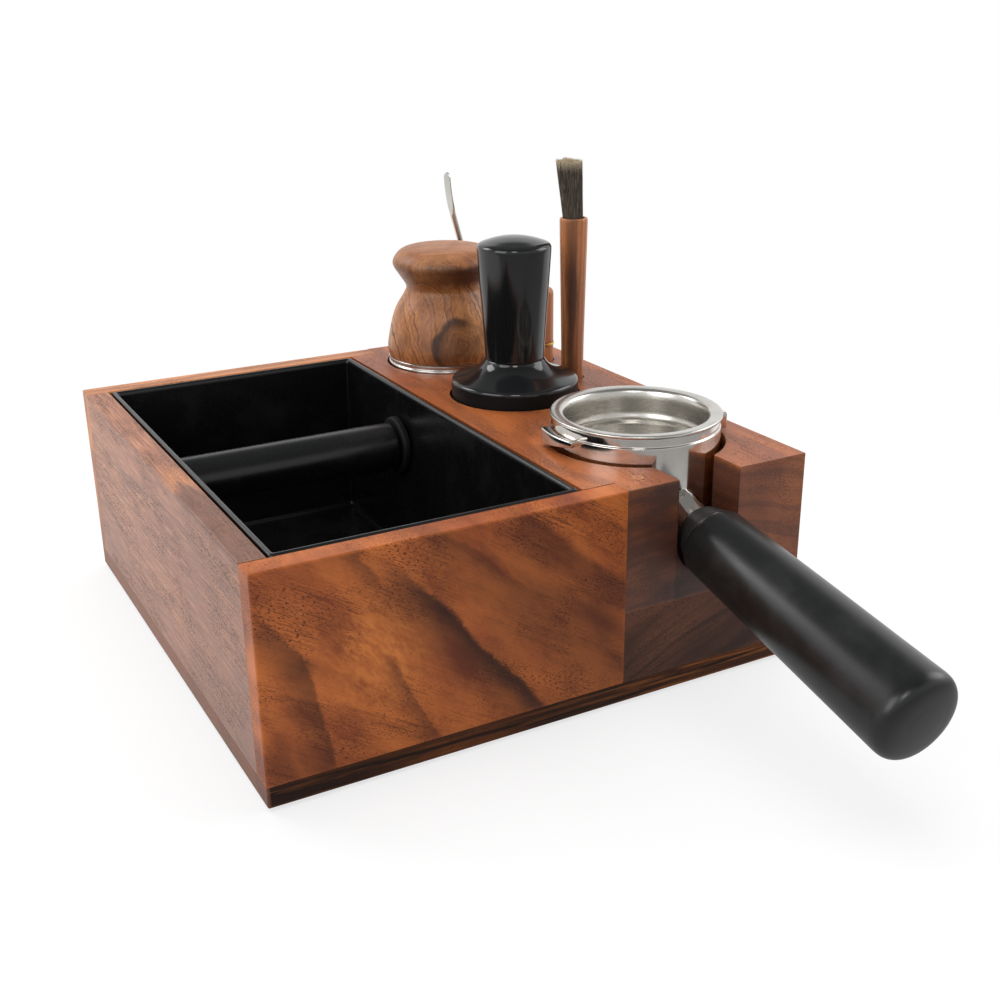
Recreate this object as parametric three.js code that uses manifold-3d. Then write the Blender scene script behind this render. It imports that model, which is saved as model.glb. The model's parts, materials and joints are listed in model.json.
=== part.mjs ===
// Espresso tamping station: a wooden box with a knock tray on the left and, on the right, a thick
// block that holds a portafilter, a tamper, a distributor, a brush, a needle tool and a pen.
// Millimetres, +Z up. The front faces -Y. Every tool lifts out of its pocket or hole.
import * as THREE from 'three';
import { mergeVertices } from 'three/addons/utils/BufferGeometryUtils.js';
import Module from 'manifold-3d';

const wasm = await Module();
wasm.setup();

// Fits shared by all pieces
const seatGap = 0.1; // under a piece that rests on another
const fitGap = 0.3; // around a piece that sits in a hole of its own shape
const pocketClearance = 1; // around a round tool in its pocket
const holeClearance = 0.5; // around a slim tool in its hole

// Woodwork
const panelThickness = 10;
const baseThickness = 8.4;
const riserHeight = 30;
const riserThickness = 10;
const rabbetWidth = 13.5; // reach of the front and back panels into the block
const blockSideWall = 10.5; // wood left of the two round pockets
const pocketFloor = 9.7; // wood under the portafilter pocket
const cheekDepth = 13.5; // wood in front of the portafilter pocket
const portafilterSideWall = 10; // wood right of the portafilter pocket
const frontWeb = 15; // wood between the portafilter and tamper pockets
const rowWeb = 9.5; // wood between the tamper and distributor pockets
const rearMargin = 8; // wood behind the distributor pocket
const toolWeb = 1.8; // wood between the tamper pocket and the brush hole
const toolRowMargin = 21; // from the brush axis to the right face
const notchClearance = 1.4; // around the handle collar in the notch
const plugDiameter = 4.5;
const plugLength = 8;
const plugSetback = 10.7; // from the front face to the plug axis

// Base screws and feet
const screwHeadDiameter = 7;
const screwHeadHeight = 2.2;
const screwDiameter = 3.4;
const screwLength = 25;
const screwInset = 30; // from a panel's end to its screw
const footDiameter = 16;
const footThickness = 1.5;
const footInset = 18;

// Knock tray and bar
const trayWidth = 120;
const trayClearance = 1;
const trayWall = 2.2;
const trayFloor = 2.5;
const trayDraft = 2; // how far each wall leans in from rim to floor
const trayRimWidth = 3;
const trayRimHeight = 5;
const trayRimRound = 0.9;
const trayCornerRadius = 1.2;
const barDiameter = 22.5;
const barRodDiameter = 12;
const barDrop = 26.5; // from the rim down to the bar axis
const barFromBack = 66; // from the tray's rear edge to the bar axis
const flangeDiameter = 27;
const flangeThickness = 3;
const barScrewDiameter = 5;
const barScrewHeadDiameter = 10;
const barScrewHeadHeight = 1.2;
const barScrewReach = 9; // into the rod's end

// Tamper
const tamperDiameter = 58;
const tamperPocketDepth = 5;
const tamperWallHeight = 12.5; // straight wall of the base
const tamperBellHeight = 9;
const tamperNeckRadius = 13.4;
const tamperGripRadius = 16.6; // widest, just under the crown
const tamperGripLength = 55;
const tamperStudRadius = 4;
const tamperStudReach = 12; // into the base and into the handle

// Distributor
const distributorDiameter = 58;
const distributorPocketDepth = 9;
const distributorLipHeight = 3.5; // steel that shows above the block
const distributorHandleHeight = 54;
const distributorNeckRadius = 19.3;
const distributorCapRadius = 25.4;
const distributorFinDrop = 3.2; // slope of each of the three levelling fins
const distributorStudRadius = 3;
const distributorStudReach = 7;

// Portafilter, measured down and up from the block's top
const portafilterDiameter = 69.5;
const portafilterPocketClearance = 2.25;
const portafilterRise = 10.4;
const portafilterStep = 0.6; // how far the upper part of the ring stands in
const lugRadius = 40;
const lugHalfAngle = 17;
const lugLift = 0.8; // lug's underside above the block at its thick end
const lugTop = 7.7;
const lugRamp = 4.4; // how far the underside climbs to the thin end
const basketRimDiameter = 70.6;
const basketRimHeight = 1.5;
const basketInnerRadius = 29.25;
const basketWall = 0.9;
const basketDepth = 27;
const basketRidgeDrop = 13; // from the rim to the pressed ridge
const basketRidgeDepth = 0.9;
const springWireRadius = 0.6;
const handleDrop = 25.9; // handle axis below the block's top at its front face
const handleTilt = 11.5; // degrees below level
const neckHalfWidth = 8;
const neckHalfHeight = 8.5; // at the collar
const neckRootHalfHeight = 10.8; // at the ring
const collarDiameter = 26;
const collarBackDiameter = 20.4;
const collarBack = 6; // collar's reach behind the front face, along the handle
const collarFront = 2.8;
const gripStartRadius = 14.4;
const gripStartRound = 1;
const gripEndRadius = 17.4;
const gripEndRound = 5.5;
const gripLength = 115.5;
const studRadius = 4.9;
const studReachBack = 14; // into the neck, behind the front face
const studReachFront = 60;

// Brush
const brushDiameter = 10.6;
const brushTopDiameter = 13;
const brushLength = 115.2;
const brushHoleDepth = 40;
const brushSetback = 8.9; // behind the tamper axis
const brushSocketDepth = 6;
const tuftBacking = 2;
const tuftRise = 27; // above the handle
const tuftRootRadius = 3.9;
const tuftSpread = 1.45; // tip spacing over root spacing
const tuftLean = -3;
const strandCount = 300;
const strandRadius = 0.14;

// Needle tool
const needleToolDiameter = 13;
const needleToolPitch = 35; // behind the brush
const needleToolMargin = 11; // wood right of its hole
const needleHoleDepth = 22;
const needleWellDepth = 42;
const needleWellRadius = 5;
const needleStemRise = 8; // stem that shows above the block
const needleRingHeight = 1.3;
const needleRingProud = 0.4;
const needleGripLength = 27;
const needleSpigotRadius = 3;
const needleSpigotLength = 8;
const needleHubRadius = 4.3;
const needleHubLength = 4;
const needleRadius = 0.25;
const needleLength = 16;
const needleCount = 6;

// Pen
const penDiameter = 3;
const penHoleDiameter = 12;
const penHoleDepth = 30;
const penSideMargin = 10;
const penRearMargin = 5;
const penShaftLength = 99;
const penTipLength = 22;
const penTipWidth = 5;
const penTipThickness = 1.2;
const penTipCurl = 3.3;
const penTurn = 15; // degrees that the flat tip is turned about the rod

// Facets
const largeSegments = 36;
const mediumSegments = 24;
const smallSegments = 16;
const screwSegments = 10;

// Places that follow from the sizes above, measured from the left front lower corner of the base
const tamperPocketRadius = tamperDiameter / 2 + pocketClearance;
const distributorPocketRadius = distributorDiameter / 2 + pocketClearance;
const portafilterRadius = portafilterDiameter / 2;
const portafilterPocketRadius = portafilterRadius + portafilterPocketClearance;
const brushHoleRadius = brushDiameter / 2 + holeClearance;
const needleToolRadius = needleToolDiameter / 2;
const needleHoleRadius = needleToolRadius + holeClearance;
const penHoleRadius = penHoleDiameter / 2;
const notchWidth = collarDiameter + 2 * notchClearance;
const portafilterPocketDepth = handleDrop + notchWidth / 2;
const portafilterDrop = portafilterPocketDepth - seatGap;
const blockThickness = portafilterPocketDepth + pocketFloor;
const panelHeight = riserHeight + blockThickness;
const blockBottom = baseThickness + riserHeight;
const stationTop = blockBottom + blockThickness;
const blockLeft = panelThickness + trayWidth + 2 * trayClearance;
const mainRowX = blockLeft + blockSideWall + Math.max(tamperPocketRadius, distributorPocketRadius);
const brushDistance = tamperPocketRadius + toolWeb + brushHoleRadius; // from the tamper axis
const toolRowX = mainRowX + Math.sqrt(brushDistance ** 2 - brushSetback ** 2);
const stationWidth = toolRowX + toolRowMargin;
const blockWidth = stationWidth - blockLeft;
const portafilterX = stationWidth - portafilterSideWall - portafilterPocketRadius;
const portafilterY = cheekDepth + portafilterPocketRadius;
const tamperY = portafilterY + portafilterPocketRadius + frontWeb + tamperPocketRadius;
const distributorY = tamperY + tamperPocketRadius + rowWeb + distributorPocketRadius;
const stationDepth = distributorY + distributorPocketRadius + rearMargin;
const brushY = tamperY + brushSetback;
const needleX = stationWidth - needleToolMargin - needleHoleRadius;
const needleY = brushY + needleToolPitch;
const penX = stationWidth - penSideMargin - penHoleRadius;
const penY = stationDepth - penRearMargin - penHoleRadius;
const panelLength = blockLeft + rabbetWidth;
const trayDepth = stationDepth - 2 * panelThickness - 2 * trayClearance;
const trayHeight = panelHeight - seatGap;
const trayX = panelThickness + trayClearance + trayWidth / 2;
const trayY = stationDepth / 2;
const notchLeft = portafilterX - notchWidth / 2;
const plugX = (panelLength + notchLeft) / 2;

// Finishes
function finish(color, roughness, metalness = 0) {
  return new THREE.MeshStandardMaterial({ color, roughness, metalness });
}
const panelWood = finish(0x7d4526, 0.55);
const blockWood = finish(0x7a3f24, 0.55);
const riserWood = finish(0x3d2114, 0.6);
const baseWood = finish(0x4a2a19, 0.6);
const turnedWood = finish(0x8a5230, 0.45);
const trayPlastic = finish(0x101012, 0.45);
const barRubber = finish(0x141416, 0.6);
const tamperBlack = finish(0x0b0b0d, 0.22);
const gripBlack = finish(0x111113, 0.5);
const steel = finish(0xb9b7b3, 0.28, 1);
const chrome = finish(0xc9c8c6, 0.15, 1);
const brass = finish(0xb98a3e, 0.3, 1);
const bristleHair = finish(0x3a322b, 0.8);
const silicone = finish(0x2a2a2c, 0.8);

// A closed three.js geometry as a solid that can be joined or cut
function solid(geometry) {
  const bare = new THREE.BufferGeometry();
  bare.setAttribute('position', geometry.getAttribute('position').clone());
  bare.setIndex(geometry.index);
  const merged = mergeVertices(bare, 1e-4);
  const triangles = [];
  for (let i = 0; i < merged.index.count; i += 3) {
    const [a, b, c] = [0, 1, 2].map((corner) => merged.index.getX(i + corner));
    if (a !== b && b !== c && c !== a) triangles.push(a, b, c);
  }
  const vertProperties = new Float32Array(merged.getAttribute('position').array);
  const triVerts = new Uint32Array(triangles);
  return new wasm.Manifold(new wasm.Mesh({ numProp: 3, vertProperties, triVerts }));
}

// A joined or cut solid as a three.js geometry
function geometryOf(body) {
  const { vertProperties, triVerts } = body.getMesh();
  const geometry = new THREE.BufferGeometry();
  geometry.setAttribute('position', new THREE.BufferAttribute(vertProperties, 3));
  geometry.setIndex(new THREE.BufferAttribute(triVerts, 1));
  return geometry;
}

// A board given by its lowest corner and its size
function board(x, y, z, width, depth, height) {
  const box = new THREE.BoxGeometry(width, depth, height);
  return box.translate(x + width / 2, y + depth / 2, z + height / 2);
}

// An upright round bar from one height to another
function post(x, y, bottom, top, radius, segments = smallSegments) {
  const geometry = new THREE.CylinderGeometry(radius, radius, top - bottom, segments);
  return geometry.rotateX(Math.PI / 2).translate(x, y, (bottom + top) / 2);
}

// A turned piece: its half outline as [radius, height] pairs, spun about +Z
function turned(outline, segments) {
  const points = outline.map(([radius, height]) => new THREE.Vector2(radius, height));
  return new THREE.LatheGeometry(points, segments).rotateX(Math.PI / 2);
}

// A turned piece with a round hole through it
function turnedTube(outline, segments) {
  return turned([...outline, outline[0]], segments);
}

// Points of a smooth outline through a few [radius, height] pairs
function smoothOutline(pairs, steps) {
  const points = pairs.map(([radius, height]) => new THREE.Vector2(radius, height));
  return new THREE.SplineCurve(points).getPoints(steps).map((point) => [point.x, point.y]);
}

// A quarter-round edge from the side of a turned piece over to its end face
function roundedEdge(radius, height, round, steps = 4) {
  const points = [];
  for (let i = 0; i <= steps; i++) {
    const angle = (i / steps) * (Math.PI / 2);
    points.push([radius - round + round * Math.cos(angle), height - round + round * Math.sin(angle)]);
  }
  return points;
}

// A closed skin over rings that hold the same number of points, capped at both ends
function loft(rings) {
  const count = rings[0].length;
  const index = [];
  rings.slice(1).forEach((ring, step) => {
    for (let i = 0; i < count; i++) {
      const next = (i + 1) % count;
      const low = step * count;
      const high = low + count;
      index.push(low + i, low + next, high + next, low + i, high + next, high + i);
    }
  });
  const last = (rings.length - 1) * count;
  for (let i = 1; i < count - 1; i++) {
    index.push(0, i + 1, i, last, last + i, last + i + 1);
  }
  const geometry = new THREE.BufferGeometry().setFromPoints(rings.flat());
  geometry.setIndex(index);
  return geometry;
}

// Ring of points round an ellipse at a height, its centre moved sideways along X
function ellipseRing(height, halfWidth, halfDepth, sides, sideways = 0) {
  return Array.from({ length: sides }, (_, i) => {
    const angle = (i / sides) * 2 * Math.PI;
    return new THREE.Vector3(sideways + halfWidth * Math.cos(angle), halfDepth * Math.sin(angle), height);
  });
}

// A named piece
function piece(name, geometry, material) {
  const mesh = new THREE.Mesh(geometry, material);
  mesh.name = name;
  return mesh;
}

// A group standing at a point
function groupAt(x, y, z, pieces) {
  const group = new THREE.Group();
  group.position.set(x, y, z);
  group.add(...pieces);
  return group;
}

// Countersunk screw, head down, its face at height 0 and its flat tip up; grow widens it into a hole
function screwShape(grow = 0) {
  const head = screwHeadDiameter / 2 + grow;
  const shank = screwDiameter / 2 + grow;
  const tip = screwLength + grow;
  const outline = [[0, -grow], [head, -grow], [head, 0], [shank, screwHeadHeight], [shank, tip], [0, tip]];
  return turned(outline, screwSegments);
}

// Where the base screws go up: two in the front panel, two in the back one, two in the right riser
const screwPlaces = [
  [screwInset, panelThickness / 2],
  [panelLength - screwInset, panelThickness / 2],
  [screwInset, stationDepth - panelThickness / 2],
  [panelLength - screwInset, stationDepth - panelThickness / 2],
  [stationWidth - riserThickness / 2, riserThickness + screwInset],
  [stationWidth - riserThickness / 2, stationDepth - riserThickness - screwInset],
];

// A board with the screw holes that reach it
function screwedBoard(geometry) {
  const holes = screwPlaces.map(([x, y]) => solid(screwShape(fitGap).translate(x, y, fitGap)));
  return geometryOf(holes.reduce((body, hole) => body.subtract(hole), solid(geometry)));
}

// Thick block: pockets for three round tools, holes for three slim ones, a notch for the handle
function stationBlock() {
  const past = 1; // how far each cut runs past the wood
  const over = stationTop + past;
  const handleZ = stationTop - handleDrop;
  const backY = stationDepth - panelThickness;
  const rabbet = (y) => board(
    blockLeft - past, y, blockBottom - past,
    rabbetWidth + past, panelThickness + past, blockThickness + 2 * past,
  );
  const pocket = (x, y, depth, radius, segments) => post(x, y, stationTop - depth, over, radius, segments);
  const notchRound = post(0, 0, -past, portafilterY, notchWidth / 2, mediumSegments);
  notchRound.rotateX(-Math.PI / 2).translate(portafilterX, 0, handleZ);
  const cuts = [
    rabbet(-past),
    rabbet(backY),
    pocket(portafilterX, portafilterY, portafilterPocketDepth, portafilterPocketRadius, largeSegments),
    board(notchLeft, -past, handleZ, notchWidth, portafilterY + past, over - handleZ),
    notchRound,
    pocket(mainRowX, tamperY, tamperPocketDepth, tamperPocketRadius, largeSegments),
    pocket(mainRowX, distributorY, distributorPocketDepth, distributorPocketRadius, largeSegments),
    pocket(toolRowX, brushY, brushHoleDepth, brushHoleRadius),
    pocket(needleX, needleY, needleHoleDepth, needleHoleRadius),
    pocket(needleX, needleY, needleWellDepth, needleWellRadius),
    pocket(penX, penY, penHoleDepth, penHoleRadius),
    pocket(plugX, plugSetback, plugLength + seatGap, plugDiameter / 2 + fitGap, screwSegments),
  ];
  const block = solid(board(blockLeft, 0, blockBottom, blockWidth, stationDepth, blockThickness));
  return geometryOf(cuts.reduce((body, cut) => body.subtract(solid(cut)), block));
}

// The wooden station with its screws and feet
function woodwork() {
  const top = baseThickness;
  const panelBackY = stationDepth - panelThickness;
  const panelSideLength = stationDepth - 2 * panelThickness;
  const riserBackY = stationDepth - riserThickness;
  const riserFrontLength = stationWidth - panelLength;
  const riserSideX = stationWidth - riserThickness;
  const riserSideLength = stationDepth - 2 * riserThickness;
  const base = board(0, 0, 0, stationWidth, stationDepth, baseThickness);
  const frontPanel = board(0, 0, top, panelLength, panelThickness, panelHeight);
  const leftPanel = board(0, panelThickness, top, panelThickness, panelSideLength, panelHeight);
  const backPanel = board(0, panelBackY, top, panelLength, panelThickness, panelHeight);
  const riserFront = board(panelLength, 0, top, riserFrontLength, riserThickness, riserHeight);
  const riserBack = board(panelLength, riserBackY, top, riserFrontLength, riserThickness, riserHeight);
  const riserRight = board(riserSideX, riserThickness, top, riserThickness, riserSideLength, riserHeight);
  const partition = board(blockLeft, panelThickness, top, riserThickness, panelSideLength, riserHeight);
  const plug = post(plugX, plugSetback, stationTop - plugLength, stationTop, plugDiameter / 2, screwSegments);
  const pieces = [
    piece('base_board', screwedBoard(base), baseWood),
    piece('front_panel', screwedBoard(frontPanel), panelWood),
    piece('left_panel', leftPanel, panelWood),
    piece('back_panel', screwedBoard(backPanel), panelWood),
    piece('riser_front', riserFront, riserWood),
    piece('riser_back', riserBack, riserWood),
    piece('riser_right', screwedBoard(riserRight), riserWood),
    piece('riser_partition', partition, riserWood),
    piece('station_block', stationBlock(), blockWood),
    piece('cheek_plug', plug, turnedWood),
  ];
  screwPlaces.forEach(([x, y], i) => {
    pieces.push(piece(`base_screw_${i + 1}`, screwShape().translate(x, y, fitGap), steel));
  });
  let foot = 0;
  for (const x of [footInset, stationWidth - footInset]) {
    for (const y of [footInset, stationDepth - footInset]) {
      foot += 1;
      pieces.push(piece(`foot_pad_${foot}`, post(x, y, -footThickness, 0, footDiameter / 2), silicone));
    }
  }
  return pieces;
}

// Ring of points round a rectangle with round corners, centred on the Z axis
function roundedRing(width, depth, radius, height, arcSteps = 4) {
  const ring = [];
  for (let corner = 0; corner < 4; corner++) {
    const signX = corner === 0 || corner === 3 ? 1 : -1;
    const signY = corner < 2 ? 1 : -1;
    for (let i = 0; i <= arcSteps; i++) {
      const angle = ((corner + i / arcSteps) * Math.PI) / 2;
      const x = signX * (width / 2 - radius) + radius * Math.cos(angle);
      const y = signY * (depth / 2 - radius) + radius * Math.sin(angle);
      ring.push(new THREE.Vector3(x, y, height));
    }
  }
  return ring;
}

// How far the tray's inner wall face stands in from the rim's outside at a height above its foot
function trayInset(height) {
  return trayRimWidth + trayDraft * (1 - height / trayHeight);
}

// Thin-walled tray: up the outside, over the rounded rim and down the inside in one skin
function knockTray(barY, barZ) {
  const rim = (inset, height) => {
    const radius = Math.max(trayCornerRadius - inset * 0.5, trayCornerRadius / 4);
    return roundedRing(trayWidth - 2 * inset, trayDepth - 2 * inset, radius, height);
  };
  const outer = (height) => trayInset(height) - trayWall;
  const underRim = trayHeight - trayRimHeight;
  const shoulder = trayHeight - trayRimRound;
  const skin = loft([
    rim(outer(0), 0),
    rim(outer(underRim), underRim),
    rim(0, underRim),
    rim(0, shoulder),
    rim(trayRimRound, trayHeight),
    rim(trayRimWidth - trayRimRound, trayHeight),
    rim(trayRimWidth, shoulder),
    rim(trayInset(trayFloor + trayRimRound), trayFloor + trayRimRound),
    rim(trayInset(trayFloor) + trayRimRound, trayFloor),
  ]);
  const hole = post(0, 0, -trayWidth, trayWidth, barScrewDiameter / 2 + fitGap, screwSegments);
  hole.rotateY(Math.PI / 2).translate(0, barY, barZ);
  return geometryOf(solid(skin).subtract(solid(hole)));
}

// Knock tray and the bar bolted between its side walls
function tray() {
  const barY = trayDepth / 2 - barFromBack;
  const barZ = trayHeight - barDrop;
  const wallFace = trayWidth / 2 - trayInset(barZ - flangeDiameter / 2);
  const flangeFace = wallFace - fitGap;
  const rodEnd = flangeFace - flangeThickness - seatGap;
  const screwHole = barScrewDiameter / 2 + fitGap;
  const rodRadius = barRodDiameter / 2;
  const outerWall = trayWidth / 2 - trayInset(barZ + barScrewHeadDiameter / 2) + trayWall;
  const headSeat = outerWall + seatGap;
  const screwTip = rodEnd - barScrewReach;
  const socketEnd = screwTip - fitGap;

  const alongX = (geometry) => geometry.rotateY(Math.PI / 2).translate(0, barY, barZ);
  const rodOutline = [
    [0, -socketEnd],
    [screwHole, -socketEnd],
    [screwHole, -rodEnd],
    [rodRadius, -rodEnd],
    [rodRadius, rodEnd],
    [screwHole, rodEnd],
    [screwHole, socketEnd],
    [0, socketEnd],
  ];
  const sleeveOutline = [
    [rodRadius + fitGap, -rodEnd],
    [barDiameter / 2, -rodEnd],
    [barDiameter / 2, rodEnd],
    [rodRadius + fitGap, rodEnd],
  ];
  const flangeRound = flangeThickness / 3;
  const flangeOutline = [
    [screwHole, rodEnd + seatGap],
    [flangeDiameter / 2 - flangeRound, rodEnd + seatGap],
    [flangeDiameter / 2, rodEnd + seatGap + flangeRound],
    [flangeDiameter / 2, flangeFace],
    [screwHole, flangeFace],
  ];
  const screwOutline = [
    [0, screwTip],
    [barScrewDiameter / 2, screwTip],
    [barScrewDiameter / 2, headSeat],
    [barScrewHeadDiameter / 2, headSeat],
    [barScrewHeadDiameter / 2, headSeat + barScrewHeadHeight],
    [0, headSeat + barScrewHeadHeight],
  ];
  const halfTurn = (geometry) => geometry.rotateX(Math.PI);
  return groupAt(trayX, trayY, baseThickness + seatGap, [
    piece('knock_tray', knockTray(barY, barZ), trayPlastic),
    piece('bar_rod', alongX(turned(rodOutline, smallSegments)), steel),
    piece('bar_sleeve', alongX(turnedTube(sleeveOutline, mediumSegments)), barRubber),
    piece('bar_flange_right', alongX(turnedTube(flangeOutline, mediumSegments)), trayPlastic),
    piece('bar_flange_left', alongX(halfTurn(turnedTube(flangeOutline, mediumSegments))), trayPlastic),
    piece('bar_screw_right', alongX(turned(screwOutline, screwSegments)), steel),
    piece('bar_screw_left', alongX(halfTurn(turned(screwOutline, screwSegments))), steel),
  ]);
}

// A plain stud between two heights
function stud(radius, bottom, top) {
  return turned([[0, bottom], [radius, bottom], [radius, top], [0, top]], screwSegments);
}

// Tamper: flat-faced base with a bell, and a flared handle screwed on by a stud
function tamper() {
  const radius = tamperDiameter / 2;
  const seat = tamperWallHeight + tamperBellHeight;
  const edge = 0.8;
  const boreRadius = tamperStudRadius + fitGap;
  const bell = smoothOutline([
    [radius - edge, tamperWallHeight],
    [radius - (radius - tamperNeckRadius) * 0.42, tamperWallHeight + tamperBellHeight * 0.22],
    [radius - (radius - tamperNeckRadius) * 0.8, tamperWallHeight + tamperBellHeight * 0.55],
    [tamperNeckRadius + edge / 2, seat - edge],
  ], 6);
  const base = turned([
    [0, 0],
    [radius - edge / 2, 0],
    [radius, edge / 2],
    [radius, tamperWallHeight - edge],
    ...bell,
    [tamperNeckRadius, seat],
    [boreRadius, seat],
    [boreRadius, seat - tamperStudReach - fitGap],
    [0, seat - tamperStudReach - fitGap],
  ], largeSegments);
  const foot = seat + seatGap;
  const crown = foot + tamperGripLength;
  const crownRise = 3.5;
  const grow = tamperGripRadius - tamperNeckRadius;
  const flare = smoothOutline([
    [tamperNeckRadius, foot + edge],
    [tamperNeckRadius + grow * 0.19, foot + tamperGripLength * 0.18],
    [tamperNeckRadius + grow * 0.69, foot + tamperGripLength * 0.6],
    [tamperGripRadius, crown - crownRise - edge],
  ], 7);
  const handle = turned([
    [0, foot + tamperStudReach + fitGap],
    [boreRadius, foot + tamperStudReach + fitGap],
    [boreRadius, foot],
    [tamperNeckRadius - edge, foot],
    ...flare,
    [tamperGripRadius - edge / 2, crown - crownRise],
    [tamperGripRadius * 0.8, crown - crownRise * 0.4],
    [tamperGripRadius * 0.45, crown - crownRise * 0.1],
    [0, crown],
  ], mediumSegments);
  return groupAt(mainRowX, tamperY, stationTop - tamperPocketDepth + seatGap, [
    piece('tamper_base', base, tamperBlack),
    piece('tamper_handle', handle, tamperBlack),
    piece('tamper_stud', stud(tamperStudRadius, seat - tamperStudReach, seat + tamperStudReach), steel),
  ]);
}

// Steel disc whose underside is three sloping fins that sweep the coffee level
function distributorBase(height, boreRadius) {
  const radius = distributorDiameter / 2;
  const lip = distributorLipHeight;
  const edge = 0.4;
  const disc = turned([
    [0, 0],
    [radius - edge, 0],
    [radius, edge],
    [radius, height - lip * 0.62],
    [radius - edge, height - lip * 0.55],
    [radius - edge, height - lip * 0.36],
    [radius, height - lip * 0.28],
    [radius, height - edge],
    [radius - edge, height],
    [boreRadius, height],
    [boreRadius, height - distributorStudReach - fitGap],
    [0, height - distributorStudReach - fitGap],
  ], largeSegments);
  const third = (Math.PI * 2) / 3;
  const sector = new THREE.Shape();
  sector.moveTo(0, 0);
  sector.absarc(0, 0, radius + 1, 0, third, false);
  sector.lineTo(0, 0);
  const slope = new THREE.Shape([
    new THREE.Vector2(0, -1),
    new THREE.Vector2(radius, -1),
    new THREE.Vector2(radius, 0),
    new THREE.Vector2(0, distributorFinDrop),
  ]);
  const sectorSize = { depth: height, bevelEnabled: false, curveSegments: 8 };
  const sectorCut = new THREE.ExtrudeGeometry(sector, sectorSize);
  const slopeCut = new THREE.ExtrudeGeometry(slope, { depth: 4 * radius, bevelEnabled: false });
  slopeCut.translate(0, 0, -2 * radius).rotateX(Math.PI / 2).rotateZ(Math.PI / 2);
  const fin = solid(sectorCut.translate(0, 0, -1)).intersect(solid(slopeCut));
  let body = solid(disc);
  for (let i = 0; i < 3; i++) {
    body = body.subtract(solid(geometryOf(fin).rotateZ(i * third)));
  }
  return geometryOf(body);
}

// Distributor: steel levelling disc under a waisted wooden handle
function distributor() {
  const baseHeight = distributorPocketDepth - seatGap + distributorLipHeight;
  const boreRadius = distributorStudRadius + fitGap;
  const radius = distributorDiameter / 2;
  const foot = baseHeight + seatGap;
  const top = foot + distributorHandleHeight;
  const at = (share) => foot + distributorHandleHeight * share;
  const handle = turned([
    [0, foot + distributorStudReach + fitGap],
    [boreRadius, foot + distributorStudReach + fitGap],
    [boreRadius, foot],
    [radius - 0.6, foot],
    ...smoothOutline([
      [radius - 0.1, foot + 0.8],
      [radius, at(0.12)],
      [(radius + distributorNeckRadius) / 2 + 1.6, at(0.39)],
      [distributorNeckRadius + 1, at(0.57)],
      [distributorNeckRadius, at(0.64)],
      [(distributorNeckRadius + distributorCapRadius) / 2 + 0.2, at(0.74)],
      [distributorCapRadius, at(0.83)],
      [distributorCapRadius * 0.96, at(0.9)],
      [distributorCapRadius * 0.8, at(0.965)],
      [distributorCapRadius * 0.45, at(0.993)],
    ], 15),
    [0, top],
  ], mediumSegments);
  return groupAt(mainRowX, distributorY, stationTop - distributorPocketDepth + seatGap, [
    piece('distributor_base', distributorBase(baseHeight, boreRadius), steel),
    piece('distributor_handle', handle, turnedWood),
    piece(
      'distributor_stud',
      stud(distributorStudRadius, baseHeight - distributorStudReach, baseHeight + distributorStudReach),
      steel,
    ),
  ]);
}

// Turns a piece made along +Z so that it runs forward and down along the handle
function alongHandle(geometry) {
  const tilt = THREE.MathUtils.degToRad(handleTilt);
  return geometry.rotateX(Math.PI / 2 + tilt).translate(0, -portafilterY, -handleDrop);
}

// One locking lug: a short arc out of the ring, flat above, its underside a ramp that draws the ring tight
function lugSolid(turn, boreRadius) {
  const half = THREE.MathUtils.degToRad(lugHalfAngle);
  const innerRadius = (boreRadius + portafilterRadius) / 2;
  const edge = 0.8;
  const steps = 6;
  const sections = Array.from({ length: steps + 1 }, (_, i) => {
    const share = i / steps;
    const angle = turn + half * (2 * share - 1);
    const foot = lugLift + lugRamp * share;
    const corners = [
      [innerRadius, foot],
      [innerRadius, lugTop],
      [lugRadius - edge, lugTop],
      [lugRadius, lugTop - edge],
      [lugRadius, foot],
    ];
    return corners.map(([r, z]) => new THREE.Vector3(r * Math.cos(angle), r * Math.sin(angle), z));
  });
  return solid(loft(sections));
}

// Open-bottomed ring with a step under its rim, two lugs, a groove for the spring and a neck for the handle
function portafilterBody(boreRadius, springZ, springGroove) {
  const wall = portafilterRadius;
  const chamfer = 0.5;
  const collar = wall - portafilterStep;
  const stepZ = portafilterRise * 0.65;
  const ring = turnedTube([
    [boreRadius + chamfer, -portafilterDrop],
    [wall - 4 * chamfer, -portafilterDrop],
    [wall, -portafilterDrop + 10 * chamfer],
    [wall, stepZ - portafilterStep],
    [collar, stepZ],
    [collar, portafilterRise - chamfer],
    [collar - chamfer, portafilterRise],
    [boreRadius, portafilterRise],
    [boreRadius, springZ + springGroove],
    [boreRadius + 2 * springGroove, springZ + springGroove],
    [boreRadius + 2 * springGroove, springZ - springGroove],
    [boreRadius, springZ - springGroove],
    [boreRadius, -portafilterDrop + chamfer],
  ], largeSegments);
  const rootDepth = portafilterY - boreRadius;
  const neckEnd = -collarBack - fitGap;
  const neckRing = (along, halfHeight) => ellipseRing(along, neckHalfWidth, halfHeight, smallSegments);
  const neck = loft([
    neckRing(-rootDepth - 4, neckRootHalfHeight),
    neckRing(-rootDepth + 3, neckRootHalfHeight),
    neckRing(neckEnd - 2, neckHalfHeight),
    neckRing(neckEnd, neckHalfHeight),
  ]);
  const bore = stud(studRadius + fitGap, -studReachBack - fitGap, 0);
  const insideFoot = -portafilterDrop - neckRootHalfHeight;
  const inside = solid(post(0, 0, insideFoot, portafilterRise, boreRadius, largeSegments));
  const neckSolid = solid(alongHandle(neck)).subtract(inside).subtract(solid(alongHandle(bore)));
  const lugs = lugSolid(0, boreRadius).add(lugSolid(Math.PI, boreRadius));
  return geometryOf(solid(ring).add(neckSolid).add(lugs));
}

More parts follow.
